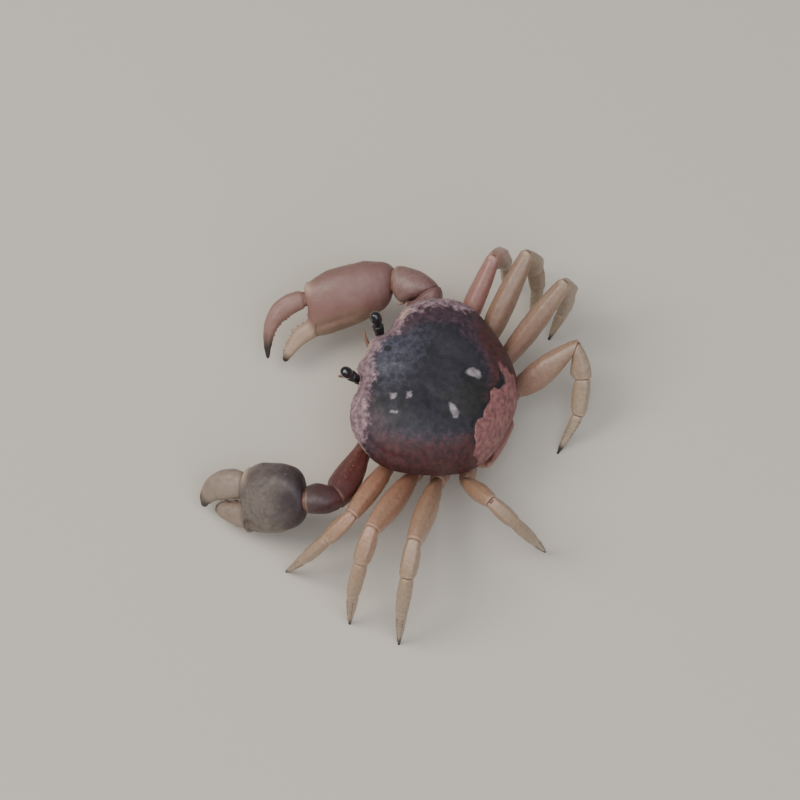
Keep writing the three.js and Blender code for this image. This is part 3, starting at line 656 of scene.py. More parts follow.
# Clear hard cornea over black pigment: a bright small highlight on black, broken by the lens facets.
cornea, cornea_place = finish_of("black_cornea", .12, 1, .04, 1.45)
cornea_depth = add(cornea, "TexNoise", {"Vector": cornea_place, "Scale": 1000 / 1.4, "Detail": 2})
cornea_black = add(cornea, "ValToRGB", {"Fac": cornea_depth}, [(.35, "#060608"), (.65, "#14121a")])
lenses = add(cornea, "TexVoronoi", {"Vector": cornea_place, "Scale": 1000 / LENS, "Randomness": .25})
facets = add(cornea, "Bump", {"Height": lenses, "Strength": .25, "Distance": LENS / 12000}, invert=True)
show(cornea, {"Base Color": cornea_black, "Normal": facets})

for letter, flip in FLIPS.items():
    stalk_foot = STALK_FOOT * flip
    stalk_way = unit(STALK_WAY * flip)
    stalk_across = unit(np.cross(stalk_way, [0, 0, 1]))
    stalk_rise = np.cross(stalk_across, stalk_way)
    stalk_share = np.linspace(0, 1, 40)
    stalk_radii = eased(STALK_RADII, stalk_share) * (1 - .07 * bell(stalk_share, .3, .05))
    stalk_line = stalk_foot + stalk_way * (STALK_LENGTH * stalk_share)[:, None]
    stalk_rings = hoops(stalk_line, stalk_across, stalk_rise, stalk_radii, stalk_radii, 40, 2)
    stalk_rings = raised(stalk_rings, grain(stalk_rings, .8, .05))
    piece(f"eye_stalk_{letter}", [shell(stalk_rings)], stalk_chitin, [f"eyestalk_{letter}"])

    eye_turn = np.linspace(.02, .98, 44) * math.pi
    eye_centre = stalk_foot + stalk_way * (STALK_LENGTH + JOINT_GAP + EYE_HALF_LENGTH)
    eye_line = eye_centre - stalk_way * (EYE_HALF_LENGTH * np.cos(eye_turn))[:, None]
    eye_swell = np.sin(eye_turn) ** CORNEA_FULLNESS
    eye_rings = hoops(
        eye_line, stalk_across, stalk_rise, EYE_RADIUS * eye_swell, EYE_DEPTH * eye_swell, 64, 2)
    piece(f"eye_{letter}_cornea", [shell(eye_rings)], cornea, [f"eye_{letter}"])

# ---------------------------------------- antennae
# Short antennae beside the eyes: two stout base joints and a whip of many thin rings of chitin, each
# joined to the next by soft skin, so that the whip bends evenly along its length.

ANTENNA_POINTS = [[4.2, -17.9, 20.6], [5, -20.2, 21.2], [6.8, -21.4, 23.4]]
ANTENNA_RADII = [.75, .62, .42, .34, .27]
ANTENNA_RINGS = 26
ANTENNA_BASE_JOINT = .22    # share of the length where the two base joints meet
ANTENNA_WHIP = .4           # share of the length where the whip leaves the base joints


def bowed(points, shares):
    """Points along the even curve that leaves the first point towards the middle one (Bezier)."""
    first, middle, last = np.asarray(points, float)
    t = np.asarray(shares)[:, None]
    return first * (1 - t) ** 2 + middle * 2 * t * (1 - t) + last * t ** 2


# Thin tan chitin, redder at the base joints.
antenna_chitin, antenna_place = finish_of("antenna_chitin", .45, .2)
antenna_along = add(antenna_chitin, "Attribute", attribute_name="along", gives="Fac")
antenna_tan = add(antenna_chitin, "ValToRGB", {"Fac": antenna_along}, [
    (0, "#6b423b"), (.35, "#7e5647"), (1, "#91705a")])
wear(antenna_chitin, antenna_place, antenna_tan, .3, .8, .02)

for letter, flip in FLIPS.items():
    whip_share = np.linspace(0, 1, 150)
    whip_line = bowed(ANTENNA_POINTS * flip, whip_share)
    whip_way = unit(np.gradient(whip_line, axis=0))
    whip_across = unit(np.cross(whip_way, [0, 0, 1]))
    whip_wave = np.abs(np.sin(whip_share * math.pi * ANTENNA_RINGS)) ** .5 * (whip_share > ANTENNA_WHIP)
    whip_joint = .16 * bell(whip_share, ANTENNA_BASE_JOINT, .02) + .12 * bell(whip_share, ANTENNA_WHIP, .02)
    whip_radii = eased(ANTENNA_RADII, whip_share) * (.93 + .07 * whip_wave - whip_joint)
    whip_rings = hoops(whip_line, whip_across, np.cross(whip_across, whip_way), whip_radii, whip_radii, 20, 2)
    piece(f"antenna_{letter}_whip", [shell(whip_rings, along=whip_share[:, None])],
          antenna_chitin, [f"antenna_{letter}"])

# ---------------------------------------- walking legs
# Eight legs of five hard tubes each: hip, merus, carpus, propodus and a pointed dactyl. Each tube is
# chitin a fraction of a millimetre thick, flattened from the sides, ridged along its edges, and joined
# to the next by a band of soft skin that lets it bend in one plane.

HIP_HEIGHT = 10.2
HIP_LENGTH = 4.4
HIP_CLEARANCE = .9
HIP_SEAMS = (.36, .58)      # where coxa, basis and ischium are fused, as shares of the hip
HIP_SEAM_DEPTH = .28
OUTER_BEND = math.radians(20)

# The four pairs, front pair first: lengths of merus, carpus, propodus and dactyl, thickness, and how far
# back the leg is rooted.
LEG_SIZES = [
    ([24.5, 8, 9, 10.5], .92, -3.2), ([27, 8, 9.5, 11], 1, 2.4),
    ([26, 8, 9.5, 11], 1, 7.8), ([17.5, 7.5, 9, 10.5], .88, 12.8),
]

# Foot on the floor, and the knee's turn about the line from hip to foot in degrees.
LEG_POSES = {
    "L": [((47, -16), 26), ((53, 3), 0), ((53, 15.5), 0), ((17, 36), -22)],
    "R": [((-43.5, -2), 2), ((-37, 8), -6), ((-35, 13.5), 7), ((-8, 28), -58)],
}

# Each tube: its half heights from near to far end, its thickness as a share of its height, the rows of
# its skin, the shares of the leg where it starts and ends, which its colour is read from, and its ridges.
# A ridge has an angle round the tube in degrees, 90 being the upper edge, a half width and a height in mm.
TUBES = {
    "ischium": ([2.5, 2.35, 2.2, 2.1], .9, 34, 0, .08, [(90, 14, .1)]),
    "merus": ([2.1, 2.9, 3.5, 3.8, 3.7, 3.3, 2.8], .66, 96, .08, .5, [
        (90, 11, .34), (246, 12, .22), (294, 12, .22), (12, 16, .06), (168, 16, .06)]),
    "carpus": ([2.2, 2.7, 2.8, 2.5], .76, 44, .5, .64, [(60, 11, .22), (120, 11, .22), (270, 14, .1)]),
    "propodus": ([2, 2.2, 2.1, 1.85], .76, 44, .64, .81, [
        (90, 10, .2), (30, 12, .13), (150, 12, .13), (270, 12, .14)]),
    "dactyl": ([1.45, 1.4, 1.2, .95, .7, .4], .85, 64, .81, 1, [
        (90, 13, .13), (30, 12, .1), (150, 12, .1), (210, 12, .1), (270, 12, .12), (330, 12, .1)]),
}
PLAIN_ROWS = 6              # rows at a tube's far end that carry no relief
SPINE_ANGLES = [60, 120, 210, 330]          # angle round the dactyl of each row of spines
SPINES_IN_ROW = 7
SPINE_LENGTH = .55
SPINE_RADIUS = .15
POINT_SHRINKS = .2          # how much the dactyl's point is drawn in towards its core
SOLE_SHARE = .86            # of the point's half height: the worn flat at its very end
SOLE_FROM = .9              # share of the dactyl where its skin starts to close on that flat


def square_to(vectors, normals):
    """The part of each vector that lies across its normal, as a unit vector."""
    return unit(vectors - normals * np.sum(vectors * normals, axis=-1, keepdims=True))


def turned(vector, axis, angle):
    """A vector turned about an axis by the right-hand rule."""
    return (vector * math.cos(angle) + np.cross(axis, vector) * math.sin(angle)
            + axis * np.dot(axis, vector) * (1 - math.cos(angle)))


def chitin_tube(name, stops, under, dark, roughness=.4, coat=.3):
    """Satin chitin of a limb: its colour runs along the limb, flecked with dark, is paler beneath and at
    worn edges, and turns to dark horn wherever the surface is marked as a tip."""
    material, place = finish_of(name, roughness, coat)
    along, below, pale, tip = (
        add(material, "Attribute", attribute_name=mark, gives="Fac")
        for mark in ("along", "below", "pale", "tip")
    )
    cloud = add(material, "TexNoise", {"Vector": place, "Scale": 1000 / 3.5, "Detail": 5, "Roughness": .6})
    fleck = add(material, "TexNoise", {"Vector": place, "Scale": 1000 / .7, "Detail": 3})
    shifted = add(material, "Math", {0: cloud, 1: .22, 2: along}, operation="MULTIPLY_ADD")
    centred = add(material, "Math", {0: shifted, 1: .11}, operation="SUBTRACT")
    colour = add(material, "ValToRGB", {"Fac": centred}, stops)
    colour = tint(material, colour, dark, fleck, .65, .35, .3)
    colour = tint(material, colour, under, below)
    colour = tint(material, colour, "#d3b79c", pale)
    colour = tint(material, colour, "#2b211d", tip, .37, .7, cloud=cloud, stray=.5)
    wear(material, place, colour, .45, 1.6, .05)
    return material


# Soft joint skin: thin, damp and wrinkled, so it is pinker and duller than the shell it joins.
joint_skin = clouded_finish("joint_skin", .5, .2, 1.5, 3, [
    (.35, "#6f4a42"), (.65, "#94705f")], (.3, .6, .05), coat_roughness=.35, ior=1.42)

# Sandy orange front legs on the left and paler ones behind; on the right a reddish leg and drab ones.
orange_chitin = chitin_tube("leg_chitin_orange", [
    (0, "#8f6a5d"), (.1, "#a0705a"), (.45, "#b3896e"), (.62, "#a98b72"), (.8, "#a68f77"), (1, "#b19d86")],
    "#b99a80", "#7c5443")
sandy_chitin = chitin_tube("leg_chitin_sandy", [
    (0, "#8b6a5d"), (.1, "#9d7a62"), (.45, "#ad8c72"), (.62, "#a58d74"), (.8, "#a4917a"), (1, "#b0a08a")],
    "#b8a088", "#725645")
red_chitin = chitin_tube("leg_chitin_red", [
    (0, "#87605a"), (.1, "#916158"), (.45, "#a07367"), (.62, "#a68374"), (.8, "#aa917e"), (1, "#b8a28d")],
    "#b29384", "#684440")
drab_chitin = chitin_tube("leg_chitin_drab", [
    (0, "#86655b"), (.1, "#8f6c5b"), (.45, "#9c806a"), (.62, "#a28c75"), (.8, "#aa967d"), (1, "#b8a68d")],
    "#b19a82", "#664b3e")
LEG_FINISHES = {
    "L": [orange_chitin, orange_chitin, sandy_chitin, sandy_chitin],
    "R": [red_chitin, drab_chitin, drab_chitin, drab_chitin],
}


def tube_rings(half_heights, flat, girth, ends, end_planes, side, rows, columns=48):
    """Skin of one tube between two joints. Its ends lie in the planes that halve the bends, half a gap
    from the joint, and are rounded over like a lip."""
    length = np.linalg.norm(ends[1] - ends[0])
    share = np.linspace(JOINT_GAP / 2, length - JOINT_GAP / 2, rows) / length
    planes = unit(end_planes[0] + (end_planes[1] - end_planes[0]) * share[:, None])
    across = square_to(side, planes)
    lip = 1 - .07 * ramp(from_ends(share) * length - JOINT_GAP / 2, .6, 0) ** 2
    half = eased(half_heights, share, 1) * girth * lip
    centres = ends[0] + (ends[1] - ends[0]) * share[:, None]
    return hoops(centres, across, np.cross(across, planes), half * flat, half, columns), share


def stripe(rings, degrees, half_width):
    """1 down one side of a limb, at this angle round its rings, fading over the half width in degrees."""
    angle = np.linspace(0, 360, rings.shape[1], endpoint=False)
    return bell((angle - degrees + 180) % 360 - 180, 0, half_width)


def ridged(rings, share, ridges, strength=1.0):
    """Relief of a tube: its long ridges, faded out at both ends, and an uneven surface between them."""
    fade = strength * ramp(from_ends(share), 0, .12)[:, None]
    relief = sum(height * stripe(rings, degrees, half_width) for degrees, half_width, height in ridges)
    return raised(rings, relief * fade + grain(rings, 1.8, .07) + grain(rings, .6, .025, 5))


def joint_band(joint, plane, side, half_width, half_height, reach=.8):
    """A collar of joint skin that bridges the gap between two tubes."""
    across = square_to(side, plane)
    share = np.linspace(-1, 1, 9)
    swell = .9 - .1 * share ** 2
    centres = joint + plane * (share * reach)[:, None]
    return shell(hoops(
        centres, across, np.cross(across, plane), half_width * swell, half_height * swell, 32))


def halving(joints):
    """Planes that halve the bends of a chain of joints."""
    ways = unit(np.diff(joints, axis=0))
    return unit(np.vstack([ways[:1], ways[:-1] + ways[1:], ways[-1:]]))


def leg_joints(sign, root, lengths, foot, swivel):
    """Joints of a leg from its root to its foot, found from its lengths, and the axis they bend about:
    the knee stands above the line from hip to foot."""
    merus, outer = lengths[0], lengths[1:]
    tip = np.array([foot[0], foot[1], 0.])
    root_share = np.array([(root - BREAST_FRONT) / (BREAST_BACK - BREAST_FRONT)])
    root_out = eased(BREAST_HALF_WIDTHS, root_share)[0] + HIP_CLEARANCE
    start = np.array([sign * root_out, root, HIP_HEIGHT])
    outward = unit((tip - start) * [1, 1, 0])
    hip = start + unit(np.array([sign * 1.4, outward[1] * .6, .12])) * HIP_LENGTH
    run = sum(length * math.cos(i * OUTER_BEND) for i, length in enumerate(outer))
    drop = sum(length * math.sin(i * OUTER_BEND) for i, length in enumerate(outer))
    chord = math.hypot(run, drop)
    span = np.linalg.norm(tip - hip)
    axis = (tip - hip) / span
    foot_share = (merus ** 2 - chord ** 2 + span ** 2) / (2 * span)
    lean = turned(unit(np.array([0, 0, 1.]) - axis * axis[2]), axis, math.radians(-sign * swivel))
    knee = hip + axis * foot_share + lean * math.sqrt(merus ** 2 - foot_share ** 2)
    side = unit(np.cross(axis, lean))
    way = turned(unit(tip - knee), side, math.atan2(drop, run))
    joints = [start, hip, knee]
    for length in outer:
        joints.append(joints[-1] + way * length)
        way = turned(way, side, -OUTER_BEND)
    return np.array(joints), side


def pointed(rings, share, point, side, sole_radius):
    """A dactyl's skin drawn in towards its core, and closed at its point on a small flat on the floor."""
    core = rings.mean(axis=1, keepdims=True)
    rings = core + (rings - core) * (1 - POINT_SHRINKS * ramp(share, .6, .9))[:, None, None]
    flat_side = unit(side * [1, 1, 0])
    sole = hoops(point[None] * [1, 1, 0], flat_side, np.cross(flat_side, [0, 0, -1]),
                 sole_radius, sole_radius, rings.shape[1])
    to_sole = ramp(share, SOLE_FROM, share[-1])[:, None, None] ** 1.5
    return rings * (1 - to_sole) + sole * to_sole


def spines(rings, way):
    """Rows of small spines down a dactyl, leaning towards its point."""
    rows, columns = rings.shape[:2]
    core = rings.mean(axis=1)
    made = []
    for degrees in SPINE_ANGLES:
        column = round(degrees / 360 * columns)
        for k in range(SPINES_IN_ROW):
            row = int((.14 + .1 * k) * rows)
            out = unit(rings[row, column] - core[row])
            made.append(knob(rings[row, column] - out * .12, out + way * .9, SPINE_LENGTH * (1 - .06 * k),
                             SPINE_RADIUS, 1.1, 6, 4, along=.95, below=0, tip=.8, pale=0))
    return made


for letter, flip in FLIPS.items():
    pairs = zip(LEG_SIZES, LEG_POSES[letter], LEG_FINISHES[letter])
    for pair, ((lengths, girth, root), (foot, swivel), finish) in enumerate(pairs, 1):
        leg = f"leg_{letter}{pair}"
        joints, side = leg_joints(flip[0], root, lengths, foot, swivel)
        planes = halving(joints)
        bands = [joint_band(joints[0] - planes[0] * .9, planes[0], side, 2 * girth, 2.2 * girth, 1.3)]
        for i, (part, (half_heights, flat, rows, start, end, ridges)) in enumerate(TUBES.items()):
            rings, share = tube_rings(
                half_heights, flat, girth, joints[i:i + 2], planes[i:i + 2], side, rows)
            tip = 0 * share
            extra = []
            if part == "ischium":
                seams = sum(bell(share, place, .03) for place in HIP_SEAMS)
                rings = raised(rings, -HIP_SEAM_DEPTH * seams[:, None])
            if part == "dactyl":
                rings = pointed(rings, share, joints[-1], side, SOLE_SHARE * half_heights[-1] * girth)
                extra = spines(rings, unit(joints[-1] - joints[-2]))
                tip = ramp(share, .55, 1)
            rings = np.vstack([
                ridged(rings, share, ridges, girth)[:-PLAIN_ROWS], rings[-PLAIN_ROWS:]])
            rings[..., 2] = np.maximum(rings[..., 2], 0)
            height = rings[..., 2] - rings[..., 2].mean(axis=1, keepdims=True)
            below = np.clip(-height / (half_heights[1] * girth) - .25, 0, .75)
            edges = ramp(from_ends(share) * np.linalg.norm(joints[i + 1] - joints[i]), 1.1, 0)
            skin = shell(rings, along=(start + (end - start) * share)[:, None], below=below,
                         tip=tip[:, None], pale=.25 * edges[:, None] * (i > 0))
            piece(f"{leg}_{part}_shell", [skin, *extra], finish, [f"{leg}_{part}"])
            if i:
                near = half_heights[0] * girth
                bands.append(joint_band(joints[i], planes[i], side, near * flat, near))
        piece(f"{leg}_joint_skin", bands, joint_skin)

# ---------------------------------------- claw arms
# The two arms that carry the claws: a long three-cornered merus with its short hip joints fused below
# it, and a swollen carpus with a blunt spur inside the elbow. Heavier, smoother shell than the legs'.

ARM_START = [8.6, -8.6, 10.2]
ARM_HIP = [13, -10.6, 11]
ARM_HALF_HEIGHTS = [2.4, 2.4, 2.2, 2.7, 3.4, 3.9, 4, 3.6]
ARM_THICKNESS = .78
ARM_SEAMS = (.1, .21)       # where the fused hip joints meet, as shares of the arm
ARM_SEAM_DEPTH = .4
ARM_ROWS = 130
ARM_COLUMNS = 64
DENTICLE_ROWS = range(44, 117, 6)           # rows of the arm's skin, along its upper edge
WRIST_HALF_HEIGHTS = [3.2, 3.9, 4.2, 4, 3.6]
WRIST_THICKNESS = .9
SPUR_AT = (36, 16)          # row and column of the carpus
SPUR_LENGTH = 1.7
SPUR_RADIUS = .95

# Elbow and wrist, the way the claw points, the way from its fixed to its moving finger, the arm's girth,
# and the angle round the arm of its upper edge.
ARM_POSES = {
    "L": ([32.7, -10, 17], [36.6, -15.6, 18], [.076, -.904, -.42], [-.56, -.28, .78], .86, 180),
    "R": ([-25.2, -13.6, 17], [-25.6, -22.2, 16], [.62, -.77, -.15], [-.56, -.57, .6], 1, 0),
}

# Dark red-brown arm of the grey claw; the other is purple-brown to mauve. Both are worn smooth.
red_arm_chitin = chitin_tube("arm_chitin_red", [
    (0, "#8c6053"), (.3, "#75433d"), (.62, "#583130"), (.8, "#4a3030"), (1, "#54443f")],
    "#94705f", "#32191a", .46, .15)
mauve_arm_chitin = chitin_tube("arm_chitin_mauve", [
    (0, "#8f6154"), (.3, "#7d5350"), (.62, "#785655"), (.72, "#84645f"), (1, "#8a6e66")],
    "#9a7a6b", "#4d3334", .46, .15)
ARM_FINISHES = {"L": (red_arm_chitin, "claw_shell_grey"), "R": (mauve_arm_chitin, "claw_shell")}

claw_frames = {}
for letter, flip in FLIPS.items():
    elbow, wrist, reach, rise, girth, up_angle = (np.array(v, float) for v in ARM_POSES[letter])
    finish, slot = ARM_FINISHES[letter]
    reach = unit(reach)
    rise = square_to(rise, reach)
    start, hip = ARM_START * flip, ARM_HIP * flip
    planes = halving(np.array([hip, elbow, wrist, wrist + reach]))
    bend_side = unit(np.cross(elbow - hip, wrist - elbow))
    claw_axes = np.array([reach, rise, np.cross(reach, rise)])
    claw_frames[letter] = (elbow, wrist, claw_axes, planes, bend_side, girth)

    arm_share = np.linspace(0, 1, ARM_ROWS)
    arm_line = spaced(curve([start, hip, (hip + elbow) / 2, elbow]), ARM_ROWS)
    arm_way = unit(np.gradient(arm_line, axis=0))
    end_turn = ramp(arm_share, .86, 1)[:, None]
    arm_way = unit(arm_way * (1 - end_turn) + planes[1] * end_turn)
    arm_line = arm_line - planes[1] * (JOINT_GAP / 2) * end_turn
    arm_across = square_to(bend_side, arm_way)
    arm_lip = 1 - .07 * ramp(from_ends(arm_share) * np.linalg.norm(elbow - start), .8, 0) ** 2
    arm_half = eased(ARM_HALF_HEIGHTS, arm_share, 1) * arm_lip * girth
    arm_rings = hoops(arm_line, arm_across, np.cross(arm_across, arm_way), arm_half * ARM_THICKNESS,
                      arm_half, ARM_COLUMNS)
    arm_seams = sum(bell(arm_share, place, .011) for place in ARM_SEAMS)
    arm_rings = raised(arm_rings, -ARM_SEAM_DEPTH * arm_seams[:, None])
    arm_rings = ridged(arm_rings, arm_share, [(up_angle, 13, .32), (70, 14, .2), (290, 14, .16)])
    arm_core = arm_rings.mean(axis=1)
    crest = round(up_angle / 360 * ARM_COLUMNS)
    denticles = []
    for k, row in enumerate(DENTICLE_ROWS):
        row += round(2 * math.sin(2.7 * k))
        top = arm_rings[row, crest + round(1.4 * math.sin(1.9 * k))]
        out = unit(top - arm_core[row])
        size = .2 + .12 * abs(math.sin(3.1 * k))
        denticles.append(knob(top - out * size / 2, out, 1.5 * size, size, 1.8, 8, 5,
                              along=.35, below=0, tip=0, pale=.08))
    arm_lift = (arm_rings[..., 2] - arm_core[:, None, 2]) / 4
    arm_skin = shell(arm_rings, along=.62 * arm_share[:, None], below=np.clip(-arm_lift - .35, 0, .7), tip=0,
                     pale=np.clip(arm_lift * 3 - 2.2, 0, .5))
    piece(f"arm_{letter}_merus_shell", [arm_skin, *denticles], finish, [f"claw_{letter}_merus"])

    wrist_rings, wrist_share = tube_rings(
        WRIST_HALF_HEIGHTS, WRIST_THICKNESS, girth, (elbow, wrist), planes[1:3], bend_side, 70, 64)
    wrist_rings = ridged(wrist_rings, wrist_share, [(up_angle, 20, .12), (270, 16, .12)])
    wrist_core = wrist_rings.mean(axis=1)
    wrist_lift = (wrist_rings[..., 2] - wrist_core[:, None, 2]) / 4
    wrist_skin = shell(wrist_rings, along=.62 + .38 * wrist_share[:, None],
                       below=np.clip(-wrist_lift - .4, 0, .7), tip=0, pale=.2 * (wrist_share[:, None] > .93))
    spur_way = unit(wrist_rings[SPUR_AT] - wrist_core[SPUR_AT[0]])
    spur = knob(wrist_rings[SPUR_AT] - spur_way * .5, spur_way + .5 * unit(wrist - elbow), SPUR_LENGTH,
                SPUR_RADIUS, 1.4, 16, 9, along=.9, below=0, tip=0, pale=.4)
    piece(f"arm_{letter}_carpus_shell", [wrist_skin, spur], finish, [f"claw_{letter}_carpus"])

# ---------------------------------------- claws
# Each claw is a deep swollen palm that runs on into the fixed finger, and a moving finger hinged to its
# upper corner. Thick polished chitin, beaded on the upper edge, with blunt grinding teeth inside the
# fingers and dark horny points.

# Sections of palm and fixed finger: distance from the wrist, middle, half height, half thickness, droop.
PALM_SECTIONS = [
    [.6, 0, 3.7, 3.1, 0], [2.2, .2, 5, 3.8, 0], [5, .2, 6.2, 4.5, 0], [9.5, -.1, 6.9, 4.8, 0],
    [14, -.3, 6.9, 4.5, 0], [17.2, -.8, 6.4, 3.8, 0], [18.8, -1.2, 5.9, 3.2, 0],
    [19.6, -4.9, 2.5, 2.4, -8], [22, -6, 2.1, 1.9, -25], [24.4, -7.7, 1.6, 1.5, -38],
    [26.2, -9.5, 1.1, 1.1, -46], [27.4, -11, .5, .5, -50],
]
PALM_LENGTH = 27
PALM_ROWS = 200
PALM_COLUMNS = 96
PALM_UPPER = 24             # column of its upper edge
PALM_BEAD_ROWS = range(34, 92, 5)
FIXED_FINGER_FROM = .62     # share of the rows where the fixed finger starts
LEAST_HALF = .3             # the fixed finger's point is no thinner than this
STOUT_FROM = 18.8           # distance from the wrist past which stout fingers are thicker
STOUT_RISE = 1.5            # how much further a stout finger is thickened at its point
HOOK_FROM = -4.5            # below this height the finger points hook
FINGER_HINGE = [19.6, 1.8, 0]
FINGER_BEND = [28.6, 2.6, 0]
FINGER_TIP = [30.6, -9.4, 0]
FINGER_HALF_HEIGHTS = [2.2, 2.5, 2.4, 2.05, 1.6, 1.1, .5]
FINGER_THICKNESS = .85
FINGER_ROWS = 110
FINGER_COLUMNS = 72
FINGER_UPPER = 18           # columns of its upper and lower edges
FINGER_LOWER = 54
FINGER_BEAD_ROWS = range(8, 58, 6)
HINGE_CUP = [1.7, 3.4, 2.9]     # radii of the hollow that the moving finger turns in
HINGE_SPOT = 1.79           # radius of the pale spot round the hinge

# Length of palm and of fingers and height of the claw against the sections above, extra thickness of its
# fingers, and how far their points hook: below zero they close upwards.
CLAW_FORMS = {"L": (.83, 1.14, 1.18, .18, -.2), "R": (1.1, 1.1, 1, 0, 1)}

# Grinding teeth: the row of the finger's skin that each stands on, and its size.
FIXED_TEETH = [
    (136, .3), (143, .5), (150, 1), (156, .4), (163, .25), (168, .7), (173, .3), (179, .35), (184, .2)]
MOVING_TEETH = [
    (28, .2), (35, .5), (43, .9), (50, .35), (58, .7), (64, .25), (71, .4), (79, .3), (86, .2), (93, .15)]
TOOTH_SUNK = .35


def claw_chitin(name, body, upper, lower, near, tip_colour):
    """Polished chitin of a palm: its upper and lower edges differ in colour, and it darkens in flecks and
    patches, at the wrist and at the finger points."""
    material, place = finish_of(name, .48, .1)
    along, height, pale, tip = (
        add(material, "Attribute", attribute_name=mark, gives="Fac")
        for mark in ("along", "height", "pale", "tip")
    )
    cloud = add(material, "TexNoise", {"Vector": place, "Scale": 1000 / 4.5, "Detail": 5, "Roughness": .6})
    fleck = add(material, "TexNoise", {"Vector": place, "Scale": 1000 / .8, "Detail": 3})
    patch = add(material, "TexNoise", {
        "Vector": place, "Scale": 1000 / 2.4, "Detail": 4, "Roughness": .6, "Distortion": .6})
    level = add(material, "Math", {0: cloud, 1: .4, 2: height}, operation="MULTIPLY_ADD")
    colour = add(material, "ValToRGB", {"Fac": level}, [(.28, lower), (.55, body), (.85, body), (1, upper)])
    colour = tint(material, colour, near, fleck, .66, .36, .28)
    colour = tint(material, colour, near, patch, .47, .6, .38)
    colour = tint(material, colour, near, along, .335, .075, cloud=cloud, stray=.25)
    colour = tint(material, colour, "#cdb29b", pale)
    colour = tint(material, colour, tip_colour, tip, .575, .925, cloud=cloud, stray=.35)
    wear(material, place, colour, .6, 2.4, .045)
    return material


# Grey-brown with a dark plum wrist end on the left; mauve-brown with an olive lower edge on the right.
# Beside each is how pale its fixed and its moving finger are.
grey_claw_chitin = claw_chitin("claw_chitin_grey", "#766c65", "#675c57", "#74685c", "#37292c", "#3a2f2c")
mauve_claw_chitin = claw_chitin("claw_chitin_mauve", "#88625a", "#84665e", "#8f7862", "#7f5c57", "#33261f")
CLAW_FINISHES = {"L": (grey_claw_chitin, .25, .3), "R": (mauve_claw_chitin, .5, .12)}

# Horn of the grinding teeth: dense, smooth and brown-black, paler where it is rubbed.
tooth_horn = clouded_finish("tooth_horn", .3, .4, 1, 3, [
    (.3, "#6b5344"), (.55, "#9a8270"), (.8, "#bda691")], (.3, .8, .02))

